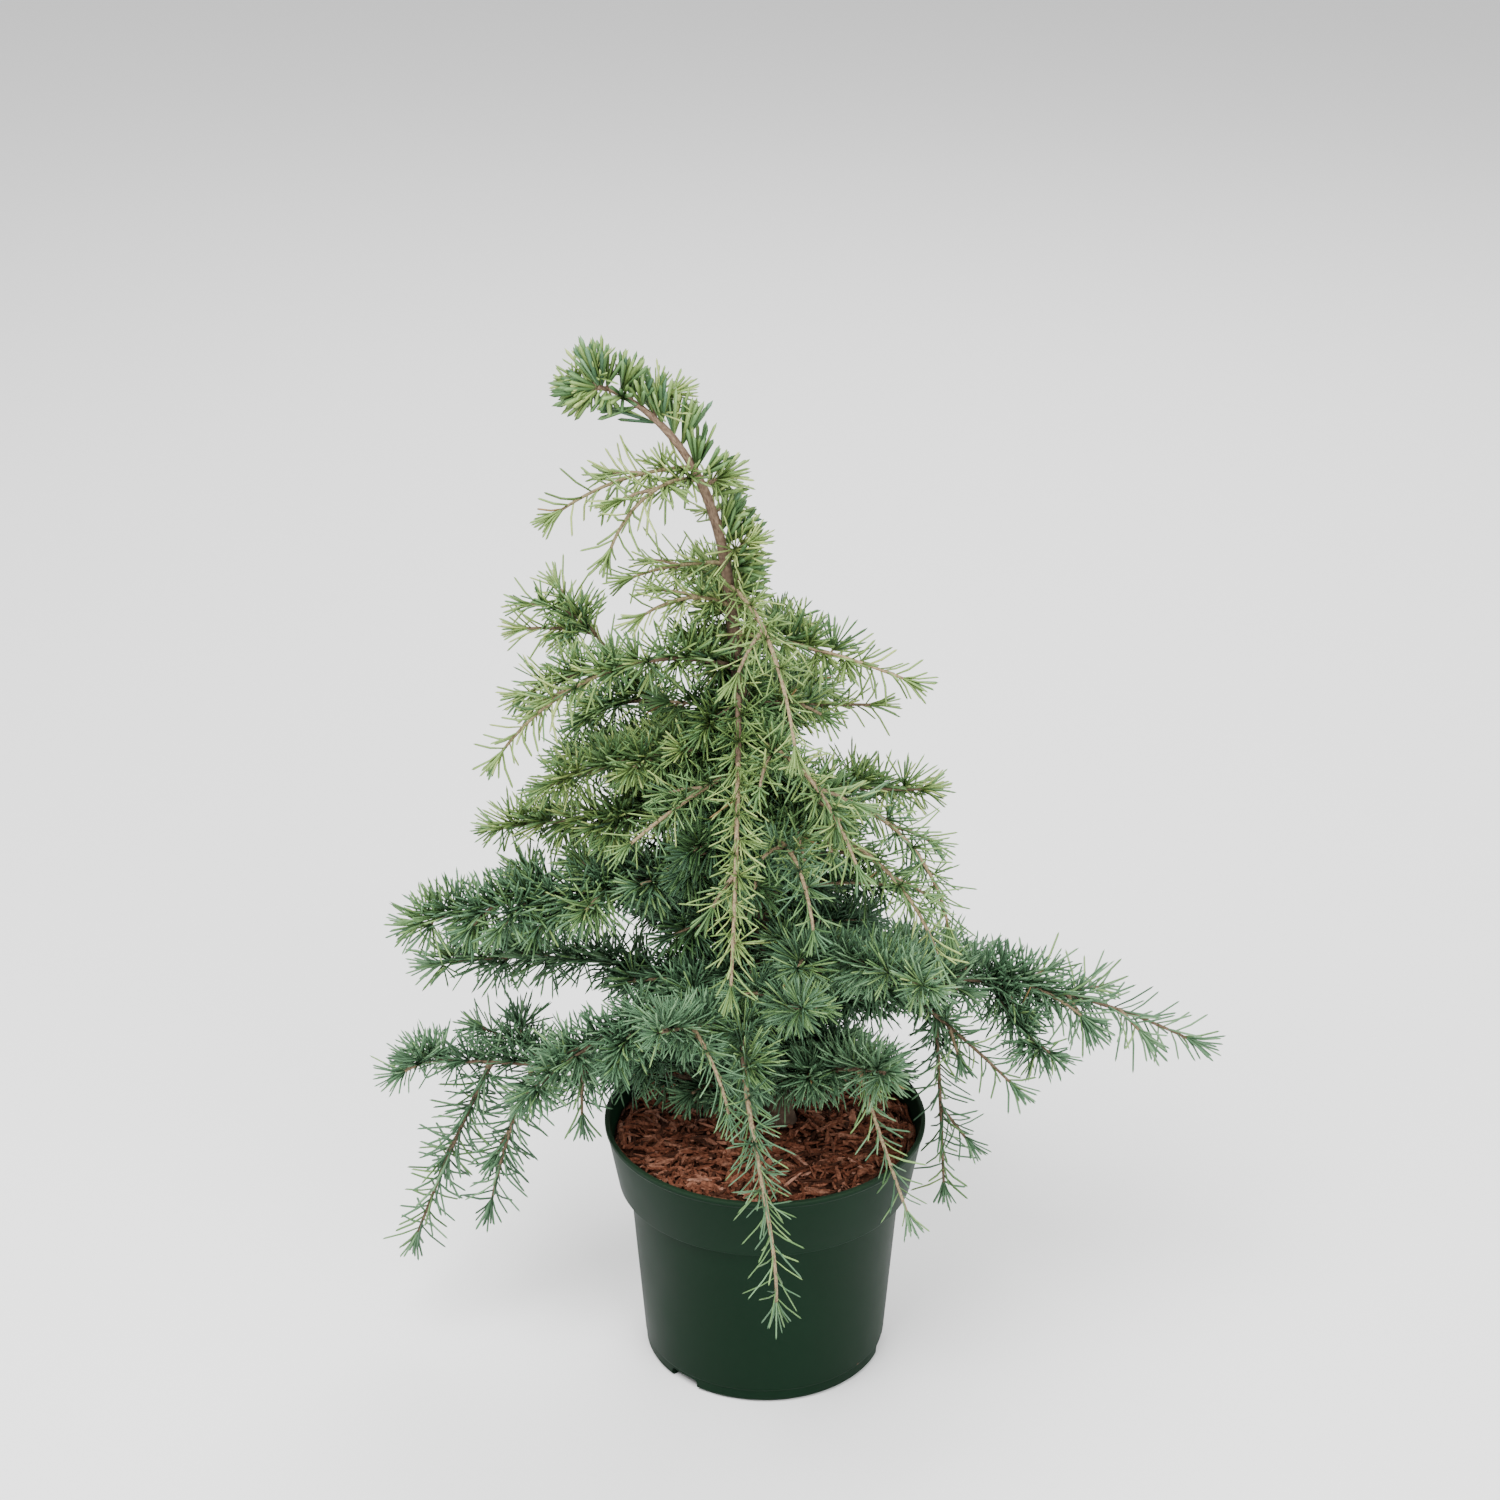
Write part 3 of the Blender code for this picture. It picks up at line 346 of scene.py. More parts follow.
def growFineTwigs(axes):
    rng = random.Random(fineTwigs["seed"])
    for axis in list(axes):
        length = axis.fromTip[0] - axis.fromTip[-1]
        if length < fineTwigs["parentLength"] or axis.owner in plain or axis.name in plain:
            continue
        far = length - 0.010
        side = rng.choice((-1.0, 1.0))
        last = max(0.0, fineTwigs["tipShare"] * axis.fromTip[0] + 0.02 - axis.fromTip[-1])
        while far > last:
            share = 1.0 - far / length
            along = (pointAt(axis.points, share + 0.04) - pointAt(axis.points, share - 0.04)).normalized()
            bearing = math.degrees(math.atan2(along.y, along.x))
            lift = math.degrees(math.asin(along.z))
            size = rng.uniform(fineTwigs["least"], fineTwigs["most"])
            rise = max(lift, -55.0) + rng.uniform(-15.0, 35.0)
            spread = side * (fineTwigs["spread"] + rng.uniform(-18.0, 18.0))
            start = pointAt(axis.points, share)
            points = route(start, bearing + spread, -side * 10.0, rise, rise - fineTwigs["droop"], size)
            if clearOfPot(points) and clearOfWood(points, axis.owner, axes):
                axes.append(makeAxis(points, size, 0.0, stemEnd(size), axis.owner, "twig", axis.height))
            side = -side
            spacing = fineTwigs["spacing"] * (fineTwigs["sparseBy"] if axis.name in hanging else 1.0)
            far -= spacing * rng.uniform(0.7, 1.3)


def inSector(turn, sector):
    return sector[0] < turn % 360.0 < sector[1]


def growTrunkShoots(trunkPoints, axes):
    rng = random.Random(trunkShoots["seed"])
    height = trunkShoots["from"]
    turn = 0.0
    while height < trunkShoots["to"]:
        start = pointAt(trunkPoints, trunkShareAtHeight(trunkPoints, height))
        up = (height - trunkShoots["longTo"]) / (trunkShoots["shortFrom"] - trunkShoots["longTo"])
        up = min(max(up, 0.0), 1.0)
        isLeft = inSector(turn, trunkShoots["left"]) and height < trunkShoots["leftTo"]
        short = trunkShoots["shortLeft" if isLeft else "short"]
        size = (trunkShoots["long"] + (short - trunkShoots["long"]) * up) * rng.uniform(0.7, 1.15)
        rise = rng.uniform(*trunkShoots["rise"])
        points = route(start, turn, rng.uniform(-15.0, 15.0), rise, rise - trunkShoots["droop"], size)
        bare = inSector(turn, trunkShoots["clearFront"]) and any(
            low < height < high for low, high in trunkShoots["clearHeights"]
        )
        if not bare and clearOfPot(points) and clearOfWood(points, "trunk", axes):
            axes.append(makeAxis(points, size, 0.0, stemEnd(size), "trunk", "inner", height - 0.03))
        turn += trunkShoots["turn"] + rng.uniform(-20.0, 20.0)
        height += trunkShoots["step"] * (1.0 + 0.5 * up) * rng.uniform(0.7, 1.3)


# Clearances

def potRadiusAt(height):
    bandFoot = pot["height"] - pot["bandHeight"]
    if height >= bandFoot:
        share = (height - bandFoot) / pot["bandHeight"]
        return pot["bandFootRadius"] + (pot["rimRadius"] - pot["bandFootRadius"]) * share + pot["lipProud"]
    return pot["footRadius"] + (pot["bodyRadius"] - pot["footRadius"]) * height / bandFoot


def placeClearOfPot(place, margin):
    across = math.hypot(place[0], place[1])
    if place[2] < margin:
        return False
    if place[2] > pot["height"] + margin:
        return True
    if across > potRadiusAt(place[2]) + margin:
        return True
    return across < pot["rimRadius"] - 2.0 * pot["wall"] - margin and place[2] > mulch["top"] + margin


def clearOfPot(points):
    return all(placeClearOfPot(point, 0.003) for point in points)


def clearOfWood(points, owner, axes):
    # True where the outer part of a twig keeps away from the wood of every other owner
    outer = np.array([pointAt(points, 0.3 + 0.1 * i) for i in range(8)])
    for axis in axes:
        if axis.owner == owner:
            continue
        others = np.array(axis.points)
        apart = np.linalg.norm(outer[:, None, :] - others[None, :, :], axis=2).min()
        if apart < 0.005:
            return False
    return True


# Base colours, dealt out by spray: hues from the blue-green of the low limbs to the
# yellow-green of the crown, each from deep to light. The deep and light steps are partly the
# needles' own tone and partly painted shade and painted light: shaded and lit copies of each green
needleColours = {
    "blueDeep": (0.044, 0.095, 0.050),
    "blueMiddle": (0.078, 0.161, 0.083),
    "blueLight": (0.140, 0.254, 0.129),
    "greenDeep": (0.050, 0.108, 0.038),
    "greenMiddle": (0.104, 0.197, 0.071),
    "greenLight": (0.192, 0.316, 0.110),
    "yellowDeep": (0.094, 0.160, 0.044),
    "yellowMiddle": (0.174, 0.271, 0.080),
    "yellowLight": (0.310, 0.400, 0.128),
    "dry": (0.210, 0.135, 0.055),
}

hues = {"names": ["blue", "green", "yellow"], "from": 0.235, "over": 0.46, "spread": 0.13, "dryShare": 0.002}

# Limbs that stand out from the others round them: how much yellower, how much lighter, and how
# thick and long their needles are. The lighter column is partly painted light and painted shade:
# it lightens limbs that other limbs shade and darkens limbs meant to look in shade
marked = {
    "crown_left": (0.0, -0.06, 1.25, 1.0), "crown_hanging": (0.0, -0.06, 1.25, 1.0),
    "crown_spur": (0.20, -0.02, 1.3, 1.05), "crown_front_right": (0.12, -0.09, 0.82, 1.0),
    "upper_right": (-0.04, -0.06, 1.15, 1.0), "high_left": (0.0, 0.04, 1.15, 1.0),
    "middle_left": (0.12, 0.02, 1.0, 1.0), "rear_left_inner": (0.12, 0.01, 1.0, 1.0),
    "rear_left_outer": (0.12, 0.01, 1.0, 1.0), "middle_rear_left": (0.08, 0.0, 1.0, 1.0),
    "long_front": (0.04, -0.10, 0.84, 1.0), "short_front": (0.0, -0.03, 0.86, 1.0),
    "arching_right": (0.04, -0.01, 1.0, 1.04), "arching_front_right": (0.04, -0.02, 0.95, 1.04),
    "long_left": (-0.05, -0.01, 1.08, 1.08), "long_low_left": (-0.02, 0.05, 1.10, 1.18),
    "lowest_left_outer": (0.04, -0.12, 1.22, 1.08), "lowest_left_inner": (0.04, -0.12, 1.22, 1.08),
    "front_low_left_hanging": (0.04, -0.10, 1.15, 1.0), "long_right": (0.0, 0.04, 1.15, 1.26),
    "long_right_hanging": (0.04, -0.10, 1.15, 1.0), "long_right_front": (0.06, -0.06, 1.12, 1.0),
    "hanging_front": (0.16, 0.0, 0.80, 1.08), "front_left_hanging": (0.06, 0.02, 0.76, 0.92),
    "front_left": (0.06, 0.02, 0.80, 1.0), "middle_front": (0.02, -0.09, 0.84, 0.88),
    "front_low_right": (0.0, 0.02, 0.86, 1.0), "rim_right": (0.0, 0.08, 0.84, 1.08),
    "rim_right_hanging": (0.14, 0.0, 0.90, 0.95), "front_right": (0.0, -0.06, 0.86, 1.0),
    "upper_rear_right": (-0.04, -0.04, 1.05, 1.0), "leader": (0.0, -0.04, 1.3, 0.62), "rear_left": (0.28, 0.07, 1.15, 1.0),
    "rear_left_tip": (0.18, 0.02, 1.1, 1.0), "rear_left_fork": (0.18, 0.02, 1.1, 1.0),
    "back_upper_right": (0.0, -0.14, 1.0, 0.70), "back_middle_left": (0.22, 0.04, 1.0, 1.0),
    "middle_right": (0.15, 0.04, 1.0, 1.0),
}

# Masses whose rosettes stand further apart
sparse = {
    "lowest_left": 1.45, "rear_left": 0.85, "rear_left_tip": 0.95, "high_left": 1.3, "back_upper": 1.6,
    "crown_front_right": 1.5, "upper_right": 1.5,
    "leader": 1.4, "rim_right": 0.88, "back_upper_right": 2.2, "middle_front": 1.6,
}

needles = {
    "seed": 77, "radius": 0.00078, "turn": 137.5,
    "long": 0.0290, "apart": 0.0030, "tilt": 54.0, "strayApart": 0.0075, "youngLength": 0.006,
    "tipYellow": 0.20, "brushYellow": 0.03, "brushCount": 12, "brushSpread": 30.0, "fanCount": 18, "fanSpread": 42.0,
}

tufts = {
    "radius": 0.00080, "youngSpacing": 0.0088, "youngCount": 9, "youngLength": 0.0190,
    "oldSpacing": 0.0040, "oldCount": 14, "oldLength": 0.0265, "spur": 0.0022,
    "upperShare": 0.60,
}

# How the shade of a spray spreads from its limb's: limb to limb, spray to spray and needle to needle.
# outer is how light the outer limbs are; shoots inside the crown are set darker as painted shade
shades = {"outer": 0.54, "limb": 0.05, "spray": 0.09, "needle": 0.15}


def colourOf(hue, depth):
    # hue: 0 blue-green to 1 yellow-green. depth: 0 deep to 1 light, partly the needles' own tone and partly painted
    # shade and painted light
    name = hues["names"][min(max(int(hue * 3.0), 0), 2)]
    return name + ["Deep", "Middle", "Light"][min(max(int(depth * 3.0), 0), 2)]


def frameAlong(along):
    side = along.cross(Vector((0.0, 0.0, 1.0)))
    if side.length < 0.05:
        side = Vector((1.0, 0.0, 0.0))
    side.normalize()
    return side, side.cross(along).normalized()


def frameOn(axis, share):
    along = (pointAt(axis.points, min(share + 0.03, 1.0)) - pointAt(axis.points, share - 0.03)).normalized()
    return (pointAt(axis.points, share), along, *frameAlong(along))


def aimed(along, side, upper, turn, tilt):
    around = upper * math.cos(math.radians(turn)) + side * math.sin(math.radians(turn))
    return along * math.cos(math.radians(tilt)) + around * math.sin(math.radians(tilt))


def growNeedles(axes):
    # Rows of root, heading, the way it bends, length and colour, for long needles and for tufts
    rng = random.Random(needles["seed"])
    seldom = (needles["youngLength"], 0.0, needles["apart"], needles["tilt"])
    longRows, tuftRows, spurs = [], [], []
    for axis in axes:
        length = axis.fromTip[0] - axis.fromTip[-1]
        middle = pointAt(axis.points, 0.5).z
        hue = (0.6 * axis.height + 0.4 * middle - hues["from"]) / hues["over"] + rng.gauss(0.0, 0.06)
        yellower, lighter, girth, stretch = marked.get(axis.name, (0.0, 0.0, 1.0, 1.0))
        hue += yellower
        depth = shades["outer"] + lighter + rng.gauss(0.0, shades["limb"])
        # Painted shade: shoots inside the crown get deeper needles, the deepest low down
        if axis.kind == "inner":
            depth = min(0.44, max(0.08, 0.08 + 1.4 * (axis.height - 0.37)))
        youngLength, bareLength, apart, lean = hanging.get(axis.name, seldom)
        yellowLength = min(0.10, 0.6 * axis.fromTip[0])
        turn = rng.uniform(0.0, 360.0)
        place = 0.003
        while place < length:
            far = axis.fromTip[0] - place
            old = far > youngLength
            young = max(0.0, 1.0 - far / yellowLength)
            root, along, side, upper = frameOn(axis, place / length)
            turn += needles["turn"] + rng.uniform(-12.0, 12.0)
            ahead = aimed(along, side, upper, turn, lean + rng.gauss(0.0, 8.0))
            size = stretch * needles["long"] * rng.uniform(0.74, 1.10) * (1.0 - 0.10 * young)
            tone = hue + needles["tipYellow"] * young + 0.08 + rng.gauss(0.0, hues["spread"])
            light = depth + 0.06 + rng.gauss(0.0, shades["needle"] + 0.04)
            longRows.append((root, ahead, along, size, dealt(tone, light, rng), girth))
            place += (needles["strayApart"] if old else apart * (1.0 + 0.6 * young)) * rng.uniform(0.7, 1.3)
        turn = rng.uniform(0.0, 360.0)
        place = rng.uniform(0.003, 0.008)
        while place < length and axis.fromTip[0] - place > bareLength:
            far = axis.fromTip[0] - place
            old = far > youngLength
            tone = hue + needles["tipYellow"] * max(0.0, 1.0 - far / yellowLength)
            turn += needles["turn"]
            growTuft(frameOn(axis, place / length), old, turn, (tone, depth, girth, stretch), rng, tuftRows, spurs)
            spacing = tufts["oldSpacing" if old else "youngSpacing"] * sparse.get(axis.owner, 1.0)
            place += spacing * rng.uniform(0.7, 1.4)
        tip, along, side, upper = frameOn(axis, 1.0)
        hangs = axis.name in hanging
        count = needles["brushCount" if hangs else "fanCount"]
        spread = needles["brushSpread" if hangs else "fanSpread"]
        for i in range(count):
            turn += needles["turn"]
            tilt = spread * math.sqrt((i + 0.5) / count) * rng.uniform(0.8, 1.3)
            ahead = aimed(along, side, upper, turn, tilt)
            size = stretch * needles["long"] * rng.uniform(0.60, 0.88)
            tone = hue + needles["brushYellow"] + rng.gauss(0.0, hues["spread"])
            light = depth + rng.gauss(0.04, shades["needle"])
            longRows.append((tip - along * 0.001, ahead, along, size, dealt(tone, light, rng), girth))
    return longRows, tuftRows, spurs


def dealt(tone, depth, rng):
    return "dry" if rng.random() < hues["dryShare"] else colourOf(tone, depth)


def growTuft(place, old, turn, shade, rng, rows, spurs):
    # A short spur with a rosette: on the upper side and the flanks of older wood, all round a young shoot
    root, along, side, upper = place
    if old:
        turn = rng.gauss(0.0, 44.0) if rng.random() < tufts["upperShare"] else 180.0 + rng.gauss(0.0, 50.0)
    out = (aimed(along, side, upper, turn, 90.0) + along * rng.uniform(0.2, 0.9)).normalized()
    end = root + out * tufts["spur"] * rng.uniform(0.8, 1.6)
    spurs.append((root, end))
    across, level = frameAlong(out)
    hue, depth, girth, stretch = shade
    depth += rng.gauss(-0.02, shades["spray"])
    hue += rng.gauss(-0.05, 0.08)
    count = int(tufts["oldCount" if old else "youngCount"] * rng.uniform(0.5, 1.5))
    length = stretch * tufts["oldLength" if old else "youngLength"]
    for i in range(count):
        tilt = 10.0 + 52.0 * math.sqrt((i + 0.5) / count) + rng.gauss(0.0, 5.0)
        ahead = aimed(out, across, level, needles["turn"] * i + rng.uniform(-15.0, 15.0), tilt)
        size = length * rng.uniform(0.74, 1.12)
        colour = dealt(hue + rng.gauss(0.0, 0.08), depth + rng.gauss(0.0, shades["needle"]), rng)
        rows.append((end - out * 0.0004, ahead, out, size, colour, girth))


# Big tufts of the crown: what each grows on and how far along, which way it points, how many
# needles, how long, and how wide a cone
crownTufts = [
    ("trunk", 0.792, (0.8, 0.3, 0.5), 11, 0.026, 36), ("trunk", 0.705, (0.9, -0.3, 0.6), 12, 0.030, 34), ("trunk", 0.735, (0.8, -0.5, 0.5), 13, 0.030, 32),
    ("trunk", 0.745, (0.9, 0.2, 0.35), 12, 0.030, 30), ("trunk", 0.762, (0.6, 0.0, 0.9), 15, 0.033, 27),
    ("trunk", 0.778, (0.4, 0.1, 1.0), 12, 0.032, 20), ("trunk", 0.825, (0.85, -0.1, 0.5), 7, 0.024, 24),
    ("trunk", 0.850, (0.75, -0.1, 0.7), 9, 0.028, 20), ("trunk", 0.858, (0.10, -0.1, 1.0), 13, 0.033, 22),
    ("trunk", 0.892, (0.34, 0.0, 1.0), 13, 0.034, 22), ("trunk", 0.905, (0.02, 0.1, 1.0), 13, 0.034, 17),
    ("trunk", 0.925, (-0.10, -0.1, 1.0), 13, 0.033, 17), ("trunk", 0.938, (-0.2, 0.4, 0.9), 7, 0.022, 26),
    ("trunk", 0.955, (0.0, -0.3, 1.0), 9, 0.024, 28), ("trunk", 0.970, (0.1, 0.2, 1.0), 11, 0.027, 30),
    ("trunk", 0.980, (-0.1, -0.7, 0.3), 8, 0.020, 42), ("trunk", 0.985, (0.35, -0.1, 1.0), 12, 0.029, 24),
    ("trunk", 0.960, (-0.9, -0.2, -0.15), 4, 0.026, 16), ("trunk", 0.930, (-0.95, -0.2, 0.25), 4, 0.026, 14),
    ("trunk", 0.998, (0.0, -0.5, -0.8), 7, 0.017, 40), ("leader", 0.05, (0.1, -0.4, -0.9), 7, 0.016, 42),
    ("leader", 0.04, (0.35, 0.1, 1.0), 7, 0.026, 20), ("leader", 0.12, (-0.05, 0.0, 1.0), 9, 0.033, 15),
    ("leader", 0.16, (-0.42, -0.1, 1.0), 12, 0.034, 14), ("leader", 0.16, (-0.85, -0.3, 0.35), 7, 0.028, 20),
    ("leader", 0.16, (-0.75, -0.2, -0.52), 11, 0.029, 24), ("leader", 0.18, (-1.0, 0.0, -0.20), 11, 0.030, 20),
]


def growCrownTufts(routes, rows, spurs):
    rng = random.Random(12)
    for parent, share, out, count, length, spread in crownTufts:
        root = pointAt(routes[parent], share)
        out = Vector(out).normalized()
        radius = trunkRadius(share, root.z - mulch["top"]) if parent == "trunk" else 0.001
        end = root + out * (radius + 0.002)
        spurs.append((root, end))
        across, level = frameAlong(out)
        hue = (0.70 if parent == "trunk" and share < 0.80 else 0.56) + rng.gauss(0.0, 0.12)
        for i in range(count):
            tilt = spread * math.sqrt((i + 0.5) / count) + rng.gauss(0.0, 2.5)
            ahead = aimed(out, across, level, needles["turn"] * i, tilt)
            size = length * rng.uniform(0.72, 1.05)
            colour = dealt(hue + rng.gauss(0.0, 0.20), 0.40 + rng.gauss(0.0, 0.22), rng)
            rows.append((end - out * 0.0004, ahead, out, size, colour, 1.0))


# Stops of a needle along its length: how far, how thick and how far it bows aside
longNeedle = [(0.0, 0.75, 0.0), (0.45, 1.0, 1.5), (0.93, 0.88, 0.4)]
tuftNeedle = [(0.0, 0.72, 0.0), (0.88, 0.94, -0.6)]


# Meshes

def makeObject(name, mesh, material=None):
    thing = bpy.data.objects.new(name, mesh)
    bpy.context.scene.collection.objects.link(thing)
    if material:
        mesh.materials.append(material)
    return thing


def meshFromBmesh(name, bm, smooth=True):
    mesh = bpy.data.meshes.new(name)
    bm.normal_update()
    bm.to_mesh(mesh)
    bm.free()
    if smooth:
        mesh.shade_smooth()
    return mesh


def arraysOf(bm):
    bm.verts.ensure_lookup_table()
    bmesh.ops.triangulate(bm, faces=bm.faces)
    places = np.array([v.co for v in bm.verts])
    corners = np.array([[v.index for v in face.verts] for face in bm.faces])
    return places, corners


def meshFromArrays(name, places, corners):
    mesh = bpy.data.meshes.new(name)
    mesh.vertices.add(len(places))
    mesh.vertices.foreach_set("co", places.astype(np.float32).ravel())
    mesh.loops.add(len(corners) * 3)
    mesh.loops.foreach_set("vertex_index", corners.astype(np.int32).ravel())
    mesh.polygons.add(len(corners))
    mesh.polygons.foreach_set("loop_start", np.arange(0, len(corners) * 3, 3, dtype=np.int32))
    mesh.update(calc_edges=True)
    mesh.validate()
    mesh.shade_smooth()
    return mesh


def joinCopies(name, template, origins, matrices):
    # Copies of one small shape, each turned and scaled by its own matrix, as one mesh
    places, corners = template
    turned = np.einsum("nij,vj->nvi", matrices, places) + origins[:, None, :]
    count = len(places)
    faces = corners[None, :, :] + (np.arange(len(origins)) * count)[:, None, None]
    return meshFromArrays(name, turned.reshape(-1, 3), faces.reshape(-1, 3))


def needleTemplate(stops):
    # A slim three-sided needle along +Z, one unit long and one unit in radius, which bows towards +X
    bm = bmesh.new()
    ring = bmesh.ops.create_circle(bm, cap_ends=True, segments=3, radius=1.0)["verts"]
    edges = list(bm.edges)
    before = Matrix.Identity(4)
    for i, (along, radius, bow) in enumerate(stops):
        place = Matrix.Translation((bow, 0.0, along)) @ Matrix.Diagonal((radius, radius, 1.0, 1.0))
        if i:
            grown = bmesh.ops.extrude_edge_only(bm, edges=edges)["geom"]
            ring = [part for part in grown if isinstance(part, bmesh.types.BMVert)]
            edges = [part for part in grown if isinstance(part, bmesh.types.BMEdge)]
            edges = [edge for edge in edges if edge.verts[0] in ring and edge.verts[1] in ring]
        bmesh.ops.transform(bm, matrix=place @ before.inverted(), verts=ring)
        before = place
    top = bmesh.ops.edgeloop_fill(bm, edges=edges)["faces"]
    point = bmesh.ops.poke(bm, faces=top)["verts"]
    bmesh.ops.translate(bm, verts=point, vec=(0.0, 0.0, 1.0 - stops[-1][0]))
    bmesh.ops.recalc_face_normals(bm, faces=bm.faces)
    arrays = arraysOf(bm)
    bm.free()
    return arrays


def turnMatrices(headings, guides, lengths, radii):
    # Turns +Z to each heading and +X towards its guide, and scales length and thickness apart
    headings = headings / np.linalg.norm(headings, axis=1)[:, None]
    first = guides - headings * np.sum(guides * headings, axis=1)[:, None]
    size = np.linalg.norm(first, axis=1)
    weak = size < 0.05
    first[weak] = np.cross(headings[weak], [[0.31, 0.95, 0.05]])
    first /= np.linalg.norm(first, axis=1)[:, None]
    second = np.cross(headings, first)
    return np.stack([first * radii[:, None], second * radii[:, None], headings * lengths[:, None]], axis=2)


def clearOfSolids(rows, trunkPoints):
    # Leaves out each needle whose middle or tip would be in the pot, the mulch or the trunk
    stops = np.array(trunkPoints)
    radii = np.array([
        trunkRadius(max(0.0, (i - 1) / (len(trunkPoints) - 2)), point.z - trunkPoints[0].z)
        for i, point in enumerate(trunkPoints)
    ])
    places = np.array([root + ahead * (size * part) for root, ahead, guide, size, *rest in rows for part in (0.5, 0.75, 1.0)])
    kept = []
    inside = np.zeros(len(places), dtype=bool)
    for first in range(0, len(places), 20000):
        some = places[first:first + 20000]
        apart = np.linalg.norm(some[:, None, :] - stops[None, :, :], axis=2)
        inside[first:first + 20000] = (apart < radii[None, :] + 0.0004).any(axis=1)
    for i, row in enumerate(rows):
        if inside[3 * i:3 * i + 3].any():
            continue
        if all(placeClearOfPot(place, 0.0008) for place in places[3 * i:3 * i + 3]):
            kept.append(row)
    return kept


def makeNeedles(kind, rows, stops, radius, materials):
    template = needleTemplate(stops)
    rng = np.random.default_rng(5)
    groups = {}
    for row in rows:
        groups.setdefault(row[4], []).append(row)
    pieces = []
    for name, members in sorted(groups.items()):
        limit = 198000 // len(template[1])
        for part in range(0, len(members), limit):
            some = members[part:part + limit]
            origins = np.array([row[0] for row in some])
            headings = np.array([row[1] for row in some])
            guides = np.array([row[2] for row in some])
            lengths = np.array([row[3] for row in some])
            radii = radius * np.array([row[5] for row in some]) * rng.uniform(0.85, 1.15, len(some))
            label = "_".join([kind, name] + (["%d" % (part // limit + 1)] if len(members) > limit else []))
            mesh = joinCopies(label, template, origins, turnMatrices(headings, guides, lengths, radii))
            pieces.append(makeObject(label, mesh, materials[name]))
    return pieces


def sweptTube(points, radii, sides, relief=None):
    # A ring carried along the points by extrusion, with both ends closed, and u round and v along
    bm = bmesh.new()
    uv = bm.loops.layers.uv.new("along")
    ring = bmesh.ops.create_circle(bm, cap_ends=True, segments=sides, radius=1.0)["verts"]
    edges = [edge for edge in bm.edges]
    ahead = (points[1] - points[0]).normalized()
    turn = ahead.to_track_quat("Z", "Y")
    before = None
    travelled = 0.0
    for i, (point, radius) in enumerate(zip(points, radii)):
        if 0 < i < len(points) - 1:
            step = (points[i + 1] - points[i - 1]).normalized()
        elif i:
            step = (points[i] - points[i - 1]).normalized()
        else:
            step = ahead
        turn = ahead.rotation_difference(step) @ turn
        ahead = step
        place = Matrix.Translation(point) @ turn.to_matrix().to_4x4() @ Matrix.Diagonal((radius, radius, 1.0, 1.0))
        if i == 0:
            bmesh.ops.transform(bm, matrix=place, verts=ring)
        else:
            grown = bmesh.ops.extrude_edge_only(bm, edges=edges)["geom"]
            ring = [part for part in grown if isinstance(part, bmesh.types.BMVert)]
            edges = [part for part in grown if isinstance(part, bmesh.types.BMEdge)]
            edges = [edge for edge in edges if edge.verts[0] in ring and edge.verts[1] in ring]
            bmesh.ops.transform(bm, matrix=place @ before.inverted(), verts=ring)
            travelled += (points[i] - points[i - 1]).length
        before = place
    bmesh.ops.edgeloop_fill(bm, edges=edges)
    bmesh.ops.recalc_face_normals(bm, faces=bm.faces)
    bm.verts.ensure_lookup_table()
    steps = [0.0]
    for a, b in zip(points, points[1:]):
        steps.append(steps[-1] + (b - a).length)
    for face in bm.faces:
        around = [loop.vert.index % sides for loop in face.loops]
        seam = max(around) - min(around) > sides // 2
        for loop, place in zip(face.loops, around):
            u = (place + sides if seam and place < sides // 2 else place) / sides
            loop[uv].uv = (u, steps[min(loop.vert.index // sides, len(steps) - 1)])
    if relief:
        raiseBark(bm, points, sides, steps, relief)
    return bm


def raiseBark(bm, points, sides, steps, relief):
    # Long shallow furrows and small bumps, in a noise that is stretched along the wood
    bm.normal_update()
    for v in bm.verts:
        turn = 2.0 * math.pi * (v.index % sides) / sides
        along = steps[min(v.index // sides, len(steps) - 1)]
        ring = Vector((math.cos(turn), math.sin(turn), 0.0)) * relief["around"]
        furrow = abs(noise.noise(ring + Vector((0.0, 0.0, along * relief["along"]))))
        bump = noise.noise(ring * 2.3 + Vector((5.0, 0.0, along * relief["along"] * 3.5)))
        v.co += v.normal * (relief["depth"] * (furrow * 1.6 - 0.35) + relief["depth"] * 0.5 * bump)


# Shared effects

def newGroup(name, inputs, outputs):
    group = bpy.data.node_groups.new(name, "ShaderNodeTree")
    for label, kind, value in inputs:
        socket = group.interface.new_socket(name=label, in_out="INPUT", socket_type=kind)
        if value is not None:
            socket.default_value = value
    for label, kind in outputs:
        group.interface.new_socket(name=label, in_out="OUTPUT", socket_type=kind)
    return group, group.nodes.new("NodeGroupInput"), group.nodes.new("NodeGroupOutput")


